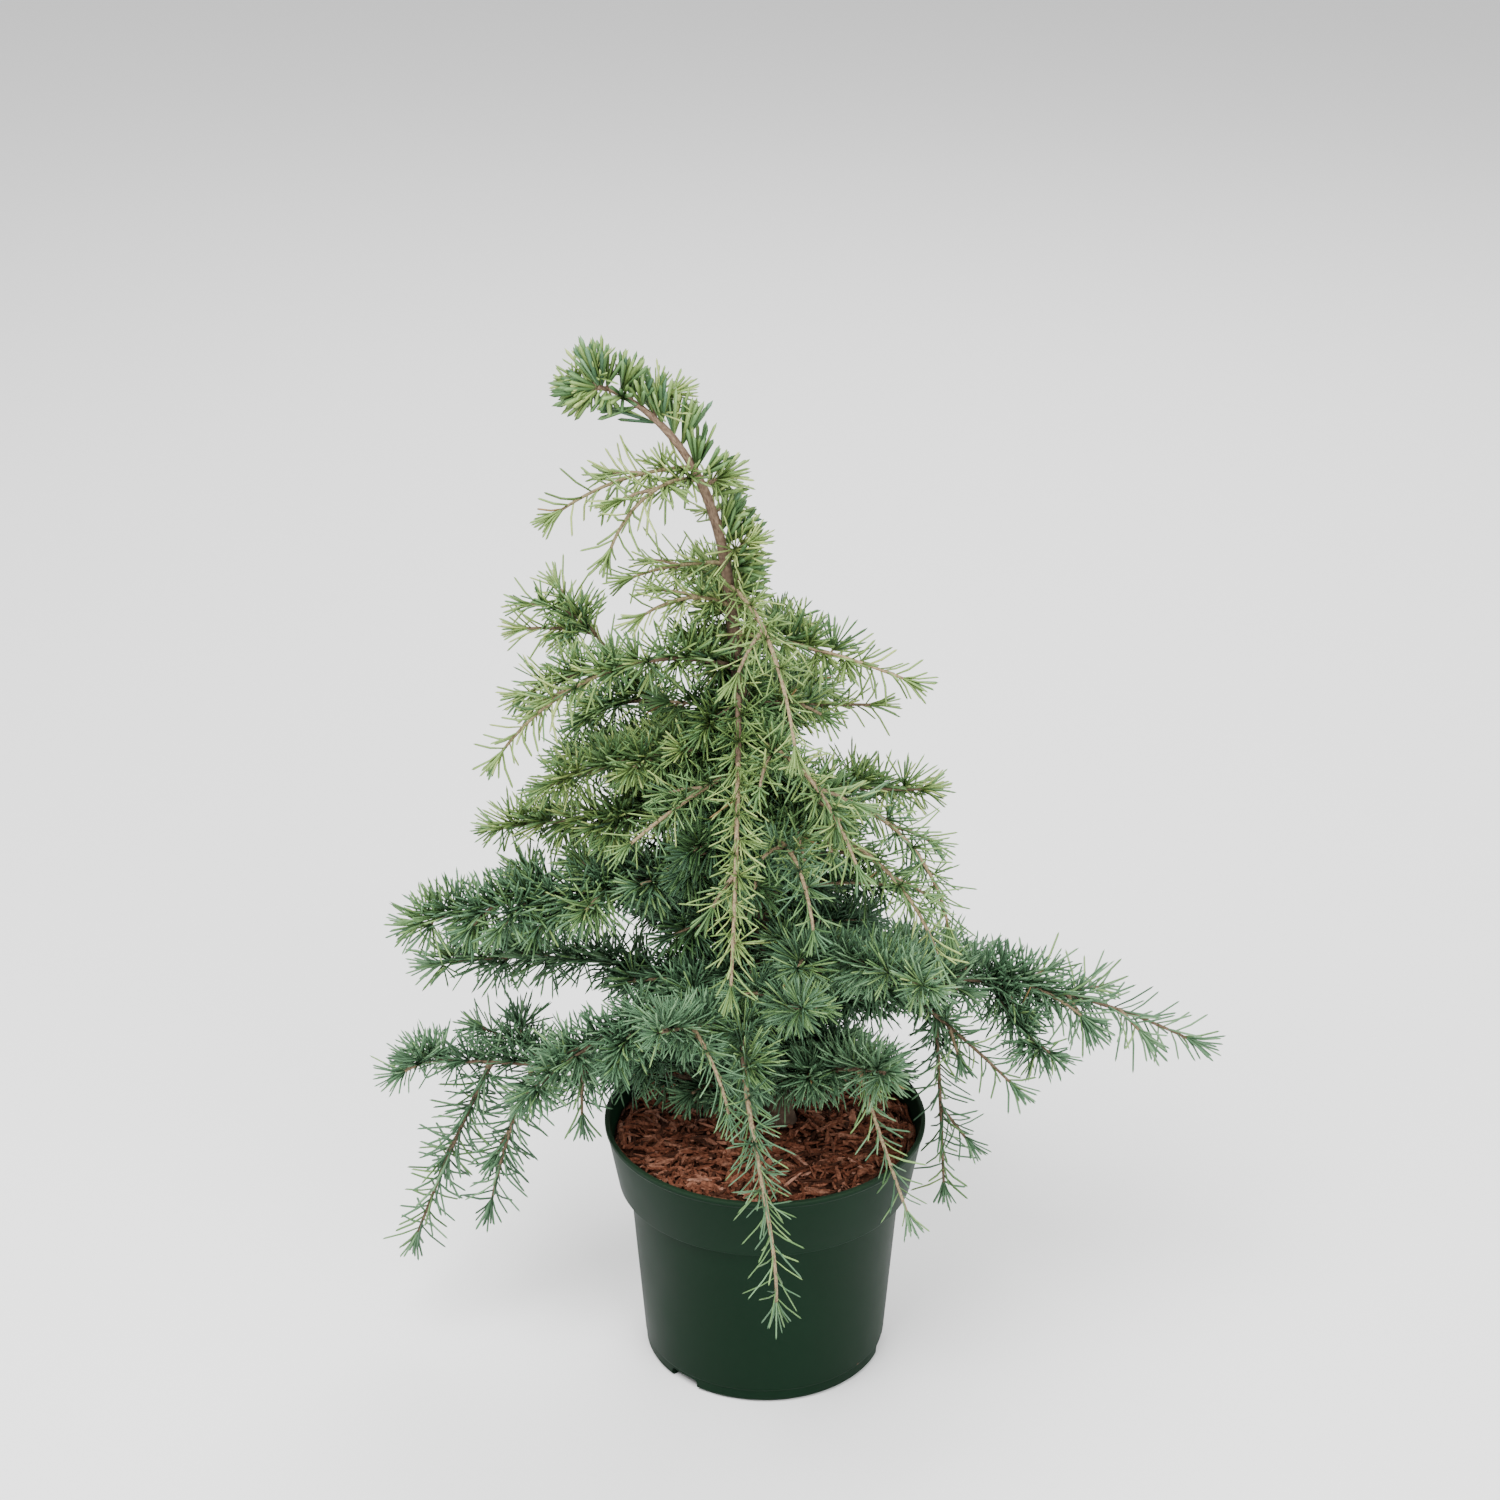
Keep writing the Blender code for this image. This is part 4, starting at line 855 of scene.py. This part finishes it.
def mottleGroup():
    # Two tones mixed by a noise, with a height for a bump and a roughness that follow it
    group, given, out = newGroup("mottle", [
        ("Vector", "NodeSocketVector", None),
        ("Dark", "NodeSocketColor", (0.1, 0.1, 0.1, 1.0)),
        ("Light", "NodeSocketColor", (0.5, 0.5, 0.5, 1.0)),
        ("Scale", "NodeSocketFloat", 100.0),
        ("Detail", "NodeSocketFloat", 4.0),
        ("Low", "NodeSocketFloat", 0.35),
        ("High", "NodeSocketFloat", 0.65),
        ("Rough", "NodeSocketFloat", 0.6),
        ("Rough Spread", "NodeSocketFloat", 0.1),
    ], [("Color", "NodeSocketColor"), ("Roughness", "NodeSocketFloat"), ("Height", "NodeSocketFloat")])
    nodes, links = group.nodes, group.links
    cloud = nodes.new("ShaderNodeTexNoise")
    links.new(given.outputs["Vector"], cloud.inputs["Vector"])
    links.new(given.outputs["Scale"], cloud.inputs["Scale"])
    links.new(given.outputs["Detail"], cloud.inputs["Detail"])
    spread = nodes.new("ShaderNodeMapRange")
    links.new(cloud.outputs["Fac"], spread.inputs["Value"])
    links.new(given.outputs["Low"], spread.inputs["From Min"])
    links.new(given.outputs["High"], spread.inputs["From Max"])
    mix = nodes.new("ShaderNodeMix")
    mix.data_type = "RGBA"
    links.new(spread.outputs["Result"], mix.inputs["Factor"])
    links.new(given.outputs["Dark"], mix.inputs[6])
    links.new(given.outputs["Light"], mix.inputs[7])
    rough = nodes.new("ShaderNodeMath")
    rough.operation = "MULTIPLY_ADD"
    links.new(spread.outputs["Result"], rough.inputs[0])
    links.new(given.outputs["Rough Spread"], rough.inputs[1])
    links.new(given.outputs["Rough"], rough.inputs[2])
    links.new(mix.outputs[2], out.inputs["Color"])
    links.new(rough.outputs["Value"], out.inputs["Roughness"])
    links.new(spread.outputs["Result"], out.inputs["Height"])
    return group


def speckGroup():
    # A mask of scattered small round spots
    group, given, out = newGroup("specks", [
        ("Vector", "NodeSocketVector", None),
        ("Scale", "NodeSocketFloat", 120.0),
        ("Size", "NodeSocketFloat", 0.1),
        ("Share", "NodeSocketFloat", 0.1),
    ], [("Mask", "NodeSocketFloat")])
    nodes, links = group.nodes, group.links
    cells = nodes.new("ShaderNodeTexVoronoi")
    links.new(given.outputs["Vector"], cells.inputs["Vector"])
    links.new(given.outputs["Scale"], cells.inputs["Scale"])
    near = nodes.new("ShaderNodeMath")
    near.operation = "LESS_THAN"
    links.new(cells.outputs["Distance"], near.inputs[0])
    links.new(given.outputs["Size"], near.inputs[1])
    parts = nodes.new("ShaderNodeSeparateColor")
    links.new(cells.outputs["Color"], parts.inputs["Color"])
    some = nodes.new("ShaderNodeMath")
    some.operation = "LESS_THAN"
    links.new(parts.outputs["Red"], some.inputs[0])
    links.new(given.outputs["Share"], some.inputs[1])
    both = nodes.new("ShaderNodeMath")
    both.operation = "MULTIPLY"
    links.new(near.outputs["Value"], both.inputs[0])
    links.new(some.outputs["Value"], both.inputs[1])
    links.new(both.outputs["Value"], out.inputs["Mask"])
    return group


mottle = mottleGroup()
specks = speckGroup()


def newMaterial(name):
    material = bpy.data.materials.new(name)
    material.use_nodes = True
    return material, material.node_tree.nodes, material.node_tree.links, material.node_tree.nodes["Principled BSDF"]


def coordinates(nodes, links, output="Object", scale=(1.0, 1.0, 1.0)):
    source = nodes.new("ShaderNodeTexCoord")
    mapping = nodes.new("ShaderNodeMapping")
    mapping.inputs["Scale"].default_value = scale
    links.new(source.outputs[output], mapping.inputs["Vector"])
    return mapping.outputs["Vector"]


def placeMottle(nodes, links, vector, dark, light, **values):
    group = nodes.new("ShaderNodeGroup")
    group.node_tree = mottle
    links.new(vector, group.inputs["Vector"])
    group.inputs["Dark"].default_value = (*dark, 1.0)
    group.inputs["Light"].default_value = (*light, 1.0)
    for label, value in values.items():
        group.inputs[label.replace("_", " ")].default_value = value
    return group


def placeBump(nodes, links, height, strength, distance):
    bump = nodes.new("ShaderNodeBump")
    bump.inputs["Strength"].default_value = strength
    bump.inputs["Distance"].default_value = distance
    links.new(height, bump.inputs["Height"])
    return bump.outputs["Normal"]


def mixColours(nodes, links, factor, first, second):
    mix = nodes.new("ShaderNodeMix")
    mix.data_type = "RGBA"
    links.new(factor, mix.inputs["Factor"])
    links.new(first, mix.inputs[6])
    mix.inputs[7].default_value = (*second, 1.0)
    return mix.outputs[2]


def lightened(nodes, links, factor, colour, most):
    # The colour times 1 to most, as the factor goes from 0 to 1
    scale = nodes.new("ShaderNodeMix")
    scale.data_type = "RGBA"
    scale.blend_type = "MULTIPLY"
    scale.inputs[7].default_value = (most, most, most, 1.0)
    links.new(factor, scale.inputs["Factor"])
    links.new(colour, scale.inputs[6])
    return scale.outputs[2]


# Finishes

def mottledMaterial(
    name, dark, light, scale, rough, bump, depth, output="Object", stretch=(1.0, 1.0, 1.0), low=0.35, high=0.65, gloss=0.2
):
    material, nodes, links, shader = newMaterial(name)
    vector = coordinates(nodes, links, output, stretch)
    tones = placeMottle(
        nodes, links, vector, dark, light, Scale=scale, Low=low, High=high, Rough=rough, Rough_Spread=0.12
    )
    links.new(tones.outputs["Color"], shader.inputs["Base Color"])
    links.new(tones.outputs["Roughness"], shader.inputs["Roughness"])
    links.new(placeBump(nodes, links, tones.outputs["Height"], bump, depth), shader.inputs["Normal"])
    shader.inputs["Specular IOR Level"].default_value = gloss
    return material


def needleMaterial(name, colour):
    dark = tuple(part * 0.86 for part in colour)
    light = tuple(min(1.0, part * 1.12) for part in colour)
    return mottledMaterial("needle_" + name, dark, light, 900.0, 0.46, 0.15, 0.0001, gloss=0.20)


def ramp(nodes, links, vector, low, high):
    # 0 below the one height and 1 above the other
    parts = nodes.new("ShaderNodeSeparateXYZ")
    links.new(vector, parts.inputs["Vector"])
    span = nodes.new("ShaderNodeMapRange")
    links.new(parts.outputs["Z"], span.inputs["Value"])
    span.inputs["From Min"].default_value = low
    span.inputs["From Max"].default_value = high
    return span.outputs["Result"]


def barkMaterial():
    material = mottledMaterial(
        "trunk_bark", (0.038, 0.024, 0.016), (0.112, 0.077, 0.052), 1.0, 0.78, 0.5, 0.0006,
        output="UV", stretch=(9.0, 260.0, 1.0), low=0.30, high=0.72,
    )
    # Paler towards the top: the lower trunk is kept darker as painted shade under the crown
    nodes, links = material.node_tree.nodes, material.node_tree.links
    base = nodes["Principled BSDF"].inputs["Base Color"]
    height = ramp(nodes, links, coordinates(nodes, links), 0.52, 0.70)
    links.new(lightened(nodes, links, height, base.links[0].from_socket, 2.15), base)
    return material


def boughMaterial():
    return mottledMaterial(
        "bough_bark", (0.060, 0.036, 0.023), (0.150, 0.105, 0.070), 1.0, 0.74, 0.4, 0.0004,
        output="UV", stretch=(6.0, 420.0, 1.0), low=0.30, high=0.70,
    )


shootBark = {
    "old": ((0.062, 0.041, 0.025), (0.150, 0.108, 0.068)),
    "young": ((0.120, 0.086, 0.050), (0.240, 0.178, 0.110)),
    "olive": ((0.085, 0.066, 0.034), (0.205, 0.168, 0.086)),
    "pale": ((0.140, 0.100, 0.058), (0.320, 0.242, 0.138)),
}

# Hanging shoots with a bark of their own
barkOf = dict.fromkeys(("crown_left", "crown_hanging", "upper_left", "upper_left_front", "high_left"), "olive")
barkOf.update(dict.fromkeys((
    "long_front", "hanging_front", "crown_front_right", "middle_front_right", "upper_right", "front_right",
    "short_front", "front_left_hanging", "rim_right_hanging", "arching_right", "arching_front_right",
), "pale"))


def shootMaterial(age):
    dark, light = shootBark[age]
    return mottledMaterial(age + "_shoot_bark", dark, light, 650.0, 0.67, 0.4, 0.0003)


def potMaterial():
    material, nodes, links, shader = newMaterial("pot_green_plastic")
    vector = coordinates(nodes, links)
    tones = placeMottle(
        nodes, links, vector, (0.0034, 0.0130, 0.0060), (0.0044, 0.0158, 0.0076),
        Scale=14.0, Low=0.3, High=0.7, Rough=0.42, Rough_Spread=0.08,
    )
    colour = tones.outputs["Color"]
    for scale, size, share in ((60.0, 0.085, 0.040), (31.0, 0.10, 0.035)):
        spots = nodes.new("ShaderNodeGroup")
        spots.node_tree = specks
        links.new(vector, spots.inputs["Vector"])
        spots.inputs["Scale"].default_value = scale
        spots.inputs["Size"].default_value = size
        spots.inputs["Share"].default_value = share
        colour = mixColours(nodes, links, spots.outputs["Mask"], colour, (0.070, 0.040, 0.024))
    # Painted highlight: a lighter green band along the top of the lip, where light from above falls
    lip = ramp(nodes, links, vector, pot["height"] - 0.0024, pot["height"] - 0.0008)
    colour = mixColours(nodes, links, lip, colour, (0.0100, 0.0225, 0.0120))
    links.new(colour, shader.inputs["Base Color"])
    links.new(tones.outputs["Roughness"], shader.inputs["Roughness"])
    shader.inputs["Specular IOR Level"].default_value = 0.035
    grain = nodes.new("ShaderNodeTexNoise")
    grain.inputs["Scale"].default_value = 1400.0
    links.new(vector, grain.inputs["Vector"])
    links.new(placeBump(nodes, links, grain.outputs["Fac"], 0.08, 0.0001), shader.inputs["Normal"])
    return material


# Pot

def roundedProfile(corners, rounding):
    # Each inner corner of the outline becomes a short arc of three points
    outline = [corners[0]]
    for before, corner, after in zip(corners, corners[1:], corners[2:]):
        here = Vector(corner)
        back = Vector(before) - here
        on = Vector(after) - here
        reach = min(rounding, back.length * 0.45, on.length * 0.45)
        start = here + back.normalized() * reach
        end = here + on.normalized() * reach
        middle = start.lerp(end, 0.5).lerp(here, 0.45)
        outline += [tuple(start), tuple(middle), tuple(end)]
    return outline + [corners[-1]]


def spunMesh(name, outline, steps):
    bm = bmesh.new()
    stops = [bm.verts.new((x, 0.0, z)) for x, z in outline]
    edges = [bm.edges.new(pair) for pair in zip(stops, stops[1:])]
    bmesh.ops.spin(
        bm, geom=stops + edges, cent=(0.0, 0.0, 0.0), axis=(0.0, 0.0, 1.0),
        angle=2.0 * math.pi, steps=steps, use_merge=True,
    )
    bmesh.ops.remove_doubles(bm, verts=bm.verts, dist=1e-6)
    bmesh.ops.recalc_face_normals(bm, faces=bm.faces)
    return meshFromBmesh(name, bm)


def makePot():
    bandFoot = pot["height"] - pot["bandHeight"]
    lipFoot = pot["height"] - pot["lipHeight"]
    wall = pot["wall"]
    corners = [
        (0.0, pot["floor"]),
        (pot["footRadius"] - wall, pot["floor"]),
        (pot["bodyRadius"] - wall, bandFoot - wall),
        (pot["bandFootRadius"] - 2.0 * wall, bandFoot + wall),
        (pot["rimRadius"] - wall, pot["height"]),
        (pot["rimRadius"] + pot["lipProud"], pot["height"]),
        (pot["rimRadius"] + pot["lipProud"], lipFoot),
        (pot["rimRadius"], lipFoot - pot["lipProud"]),
        (pot["bandFootRadius"], bandFoot),
        (pot["bodyRadius"], bandFoot - wall),
        (pot["footRadius"] + pot["footLineProud"], pot["footLineHeight"]),
        (pot["footRadius"], pot["footLineHeight"] - pot["footLineProud"]),
        (pot["footRadius"], pot["footChamfer"]),
        (pot["footRadius"] - pot["footChamfer"], 0.0),
        (0.0, 0.0),
    ]
    mesh = spunMesh("pot_shell", roundedProfile(corners, pot["rounding"]), pot["steps"])
    shell = makeObject("pot_shell", mesh)
    for i in range(pot["notchCount"]):
        cutNotch(shell, pot["notchBearing"] + 360.0 * i / pot["notchCount"])
    shell.data.shade_smooth()
    shell.data.set_sharp_from_angle(angle=math.radians(35.0))
    shell.data.materials.clear()
    shell.data.materials.append(potMaterial())
    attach(shell, "root")
    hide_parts("pot")


def cutNotch(shell, bearing):
    bm = bmesh.new()
    bmesh.ops.create_cube(bm, size=1.0)
    bmesh.ops.scale(bm, verts=bm.verts, vec=(2.0 * pot["notchDepth"], pot["notchWidth"], 2.0 * pot["notchHeight"]))
    upright = [edge for edge in bm.edges if abs(edge.verts[0].co.x - edge.verts[1].co.x) > pot["notchDepth"]]
    bmesh.ops.bevel(
        bm, geom=upright, offset=0.003, segments=3, affect="EDGES", profile=0.5, material=-1, offset_type="OFFSET"
    )
    place = Matrix.Translation(heading(bearing, 0.0) * pot["footRadius"]) @ Matrix.Rotation(math.radians(bearing), 4, "Z")
    bmesh.ops.transform(bm, matrix=place, verts=bm.verts)
    cutter = makeObject("notch", meshFromBmesh("notch", bm))
    modifier = shell.modifiers.new("notch", "BOOLEAN")
    modifier.operation = "DIFFERENCE"
    modifier.object = cutter
    bpy.context.view_layer.update()
    shell.data = bpy.data.meshes.new_from_object(shell.evaluated_get(bpy.context.evaluated_depsgraph_get()))
    shell.modifiers.clear()
    bpy.data.objects.remove(cutter, do_unlink=True)


# Mulch: a bed, and chips of a few colours laid over it

chipColours = {
    "redBrown": ((0.056, 0.0185, 0.0094), (0.150, 0.0510, 0.0285), 0.40),
    "darkBrown": ((0.020, 0.0074, 0.0042), (0.062, 0.0230, 0.0130), 0.30),
    "rust": ((0.092, 0.0325, 0.0175), (0.205, 0.0820, 0.0490), 0.18),
    "tan": ((0.130, 0.0520, 0.0310), (0.255, 0.1160, 0.0740), 0.09),
    "pinkPale": ((0.165, 0.0740, 0.0480), (0.310, 0.1600, 0.1120), 0.05),
}


def bedHeight(across):
    inner = mulch["levelRadius"]
    share = max(0.0, (across - inner) / (pot["rimRadius"] - inner))
    return mulch["top"] - mulch["edgeDrop"] * share - 0.0024


def bumps(x, y):
    # Low mounds with finer lumps on them
    wide = noise.noise(Vector((x * 38.0, y * 38.0, 0.0)))
    fine = noise.noise(Vector((x * 120.0, y * 120.0, 7.0)))
    return mulch["unevenness"] * (0.65 * wide + 0.35 * fine)


def makeBed():
    bandFoot = pot["height"] - pot["bandHeight"]
    slope = (pot["rimRadius"] - pot["bandFootRadius"]) / pot["bandHeight"]
    outline = [(0.0, bedHeight(0.0))]
    for i in range(mulch["rings"]):
        across = 0.1095 * (i + 1) / mulch["rings"]
        outline.append((across, bedHeight(across)))
    outline.append((pot["bandFootRadius"] - 2.2 * pot["wall"] + slope * 0.01, bandFoot + 0.01))
    outline.append((0.0, bandFoot + 0.01))
    mesh = spunMesh("mulch_bed", outline, mulch["steps"])
    for v in mesh.vertices:
        if v.co.z > bandFoot + 0.02:
            v.co.z += bumps(v.co.x, v.co.y)
    mesh.update()
    material = mottledMaterial("mulch_bed", (0.010, 0.0040, 0.0025), (0.038, 0.0145, 0.0085), 340.0, 0.9, 0.8, 0.002, gloss=0.05)
    bed = makeObject("mulch_bed", mesh, material)
    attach(bed, "root")
    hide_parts("mulch")


def chipTemplate(seed):
    # A torn sliver of bark, one unit long, with ragged thin ends
    rng = random.Random(seed)
    bm = bmesh.new()
    bmesh.ops.create_cube(bm, size=1.0)
    long = [edge for edge in bm.edges if abs(edge.verts[0].co.x - edge.verts[1].co.x) > 0.5]
    bmesh.ops.subdivide_edges(bm, edges=long, cuts=2)
    for v in bm.verts:
        end = abs(v.co.x) > 0.4
        narrow = rng.uniform(0.25, 0.7) if end else rng.uniform(0.85, 1.1)
        v.co.y *= narrow
        v.co.z *= rng.uniform(0.25, 0.6) if end else rng.uniform(0.8, 1.2)
        v.co.x += rng.uniform(-0.12, 0.12)
        v.co.y += rng.uniform(-0.12, 0.12)
        v.co.z += 0.35 * (v.co.x ** 2) * rng.choice((-1.0, 1.0)) * 0.3
    bmesh.ops.recalc_face_normals(bm, faces=bm.faces)
    arrays = arraysOf(bm)
    bm.free()
    return arrays


def chipSize(rng):
    # Slivers, plates and crumbs
    kind = rng.random()
    if kind < 0.58:
        long = rng.triangular(0.006, 0.026, 0.012)
        return long, rng.uniform(0.0011, 0.0029), rng.uniform(0.0009, 0.0018)
    if kind < 0.68:
        long = rng.uniform(0.009, 0.019)
        return long, rng.uniform(0.0028, 0.0046), rng.uniform(0.0014, 0.0024)
    long = rng.uniform(0.0030, 0.0080)
    return long, rng.uniform(0.0009, 0.0024), rng.uniform(0.0008, 0.0016)



def makeChips():
    templates = [chipTemplate(seed) for seed in range(6)]
    rng = random.Random(31)
    names = list(chipColours)
    weights = [chipColours[name][2] for name in names]
    laid = {name: [] for name in names}
    for i in range(mulch["chips"]):
        across = mulch["reach"] * math.sqrt(rng.random())
        bearing = rng.uniform(0.0, 2.0 * math.pi)
        long, wide, thick = chipSize(rng)
        turn = rng.uniform(0.0, math.pi)
        if across + long / 2.0 > mulch["reach"]:
            turn = bearing + math.pi / 2.0 + rng.gauss(0.0, 0.15)
        x, y = across * math.cos(bearing), across * math.sin(bearing)
        if math.hypot(x - trunk["foot"][0], y - trunk["foot"][1]) < 0.012 + long * 0.3:
            continue
        level = i / mulch["chips"]
        z = bedHeight(across) + 0.0004 + 0.0026 * level + bumps(x, y)
        tilt = Matrix.Rotation(rng.gauss(0.0, 0.42), 3, "X") @ Matrix.Rotation(rng.gauss(0.0, 0.16), 3, "Y")
        matrix = Matrix.Rotation(turn, 3, "Z") @ tilt @ Matrix.Diagonal((long, wide, thick))
        name = rng.choices(names, weights)[0] if wide < 0.0029 else rng.choice(("redBrown", "rust", "rust", "tan"))
        laid[name].append((i % len(templates), (x, y, z), np.array(matrix)))
    for name, rows in laid.items():
        places, corners, count = [], [], 0
        for kind, place, matrix in rows:
            shape, faces = templates[kind]
            places.append(shape @ matrix.T + np.array(place))
            corners.append(faces + count)
            count += len(shape)
        mesh = meshFromArrays("chips_" + name, np.concatenate(places), np.concatenate(corners))
        mesh.shade_flat()
        dark, light, _ = chipColours[name]
        material = mottledMaterial("chip_" + name, dark, light, 420.0, 0.78, 0.6, 0.0006, gloss=0.08)
        chips = makeObject("chips_" + name, mesh, material)
        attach(chips, "root")
        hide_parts("mulch")


# Wood

barkRelief = {"around": 1.6, "along": 55.0, "depth": 0.00055}
boughRelief = {"around": 1.3, "along": 95.0, "depth": 0.00026}


def makeTrunk(points):
    rest = points[1:]
    count = int(trunk["length"] / trunk["spacing"])
    stops = [points[0]] + [pointAt(rest, i / count) for i in range(count + 1)]
    radii = []
    for i, stop in enumerate(stops):
        share = max(0.0, (i - 1) / count)
        radii.append(trunkRadius(share, stop.z - points[0].z))
    bm = sweptTube(stops, radii, trunk["sides"], barkRelief)
    piece = makeObject("trunk_bark", meshFromBmesh("trunk_bark", bm), barkMaterial())
    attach(piece, "root")
    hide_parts("trunk")


def makeBoughs(axes):
    material = boughMaterial()
    for axis in axes:
        if axis.kind != "bough":
            continue
        count = max(4, int(len(axis.points) * 2.5))
        points = [pointAt(axis.points, i / count) for i in range(count + 1)]
        radii = [float(np.interp(i / count, np.linspace(0, 1, len(axis.radii)), axis.radii)) for i in range(count + 1)]
        bm = sweptTube(points, radii, wood["boughSides"], boughRelief)
        name = "bark_" + axis.owner
        piece = makeObject(name, meshFromBmesh(name, bm), material)
        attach(piece, "root")
        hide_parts("bough_" + axis.owner)


def joinTubes(name, axes, sides, material):
    places, corners, count = [], [], 0
    for axis in axes:
        bm = sweptTube(axis.points, axis.radii, sides)
        shape, faces = arraysOf(bm)
        bm.free()
        places.append(shape)
        corners.append(faces + count)
        count += len(shape)
    mesh = meshFromArrays(name, np.concatenate(places), np.concatenate(corners))
    piece = makeObject(name, mesh, material)
    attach(piece, "root")
    return piece


def budTemplate():
    bm = bmesh.new()
    bmesh.ops.create_uvsphere(bm, u_segments=7, v_segments=5, radius=1.0)
    bmesh.ops.translate(bm, verts=bm.verts, vec=(0.0, 0.0, 0.6))
    arrays = arraysOf(bm)
    bm.free()
    return arrays


def makeBuds(axes, material):
    rng = np.random.default_rng(8)
    origins = np.array([axis.points[-1] for axis in axes])
    headings = np.array([axis.points[-1] - axis.points[-2] for axis in axes])
    lengths = rng.uniform(0.0011, 0.0016, len(axes))
    radii = rng.uniform(0.0008, 0.0011, len(axes))
    mesh = joinCopies("buds", budTemplate(), origins, turnMatrices(headings, headings, lengths, radii))
    piece = makeObject("buds", mesh, material)
    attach(piece, "root")
    return piece


def spurTemplate():
    bm = bmesh.new()
    bmesh.ops.create_cone(bm, cap_ends=True, segments=6, radius1=1.0, radius2=0.8, depth=1.0)
    bmesh.ops.translate(bm, verts=bm.verts, vec=(0.0, 0.0, 0.5))
    arrays = arraysOf(bm)
    bm.free()
    return arrays


def makeSpurs(spurs, material):
    rng = np.random.default_rng(9)
    origins = np.array([root for root, end in spurs])
    headings = np.array([end - root for root, end in spurs])
    lengths = np.linalg.norm(headings, axis=1)
    radii = rng.uniform(0.0007, 0.0010, len(spurs))
    mesh = joinCopies("spurs", spurTemplate(), origins, turnMatrices(headings, headings, lengths, radii))
    piece = makeObject("spurs", mesh, material)
    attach(piece, "root")
    return piece


# Floor, light and camera

stage = {"size": 30.0, "floor": (0.84, 0.84, 0.84), "sky": (1.0, 1.0, 1.0), "skyStrength": 0.95}

camera = {"place": (-0.0109, -2.033, 1.466), "down": 25.8, "lens": 79.05, "sensor": 36.0}

lamps = {
    "key": {"place": (-0.8, -1.0, 2.5), "size": 1.5, "power": 125.0},
    "fill": {"place": (1.2, -2.0, 1.5), "size": 1.6, "power": 62.0},
    "back": {"place": (0.4, 1.9, 2.4), "size": 2.0, "power": 85.0},
}


def makeStage():
    bm = bmesh.new()
    bmesh.ops.create_grid(bm, x_segments=2, y_segments=2, size=stage["size"] / 2.0)
    floor = makeObject("floor", meshFromBmesh("floor", bm))
    material, nodes, links, shader = newMaterial("pale_floor")
    shader.inputs["Base Color"].default_value = (*stage["floor"], 1.0)
    shader.inputs["Roughness"].default_value = 0.85
    floor.data.materials.append(material)
    world = bpy.data.worlds.new("soft_room")
    world.use_nodes = True
    world.node_tree.nodes["Background"].inputs["Color"].default_value = (*stage["sky"], 1.0)
    world.node_tree.nodes["Background"].inputs["Strength"].default_value = stage["skyStrength"]
    bpy.context.scene.world = world


def makeLamps():
    target = Vector((0.0, 0.0, 0.35))
    for name, lamp in lamps.items():
        light = bpy.data.lights.new(name, "AREA")
        light.shape = "SQUARE"
        light.size = lamp["size"]
        light.energy = lamp["power"]
        thing = bpy.data.objects.new(name, light)
        thing.location = lamp["place"]
        thing.rotation_euler = (target - Vector(lamp["place"])).to_track_quat("-Z", "Y").to_euler()
        bpy.context.scene.collection.objects.link(thing)


def makeCamera():
    data = bpy.data.cameras.new("camera")
    data.lens = camera["lens"]
    data.sensor_width = camera["sensor"]
    thing = bpy.data.objects.new("camera", data)
    thing.location = camera["place"]
    thing.rotation_euler = (math.radians(90.0 - camera["down"]), 0.0, 0.0)
    bpy.context.scene.collection.objects.link(thing)
    bpy.context.scene.camera = thing


def main():
    makeStage()
    makeLamps()
    makeCamera()
    makePot()
    makeBed()
    makeChips()
    print("pot and mulch made")

    trunkPoints, routes, axes = growLimbs()
    growTwigs(routes, axes)
    growFineTwigs(axes)
    growTrunkShoots(trunkPoints, axes)
    makeTrunk(trunkPoints)
    makeBoughs(axes)
    old = shootMaterial("old")
    stems = [axis for axis in axes if axis.kind == "stem"]
    side = [axis for axis in axes if axis.kind in ("twig", "inner")]
    joinTubes("stems", [axis for axis in stems if axis.name not in barkOf], wood["twigSides"], old)
    for age in ("olive", "pale"):
        shoots = [axis for axis in stems if barkOf.get(axis.name) == age]
        joinTubes(age + "_shoots", shoots, wood["twigSides"] + 1, shootMaterial(age))
    joinTubes("twigs", side, wood["twigSides"] - 1, shootMaterial("young"))
    makeBuds([axis for axis in axes if axis.kind != "bough"], old)
    print("wood made:", len(axes), "axes")

    longRows, tuftRows, spurs = growNeedles(axes)
    crownRows = []
    growCrownTufts(routes, crownRows, spurs)
    makeSpurs(spurs, old)
    longRows = clearOfSolids(longRows, trunkPoints)
    tuftRows = clearOfSolids(tuftRows, trunkPoints)
    crownRows = clearOfSolids(crownRows, trunkPoints)
    materials = {name: needleMaterial(name, colour) for name, colour in needleColours.items()}
    pieces = makeNeedles("needles", longRows, longNeedle, needles["radius"], materials)
    pieces += makeNeedles("tufts", tuftRows, tuftNeedle, tufts["radius"], materials)
    pieces += makeNeedles("crown", crownRows, tuftNeedle, 2.1 * tufts["radius"], materials)
    masses = ["foliage_" + name for name in massNames()]
    for piece in pieces:
        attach(piece, "root")
        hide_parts(*masses)
    metres = sum(axis.fromTip[0] - axis.fromTip[-1] for axis in axes)
    print("needles made: %d long, %d in tufts, on %.1f m of wood" % (len(longRows), len(tuftRows), metres))
    total = sum(len(thing.data.polygons) for thing in bpy.data.objects if thing.type == "MESH" and not thing.hide_render)
    print("faces in all:", total)


main()
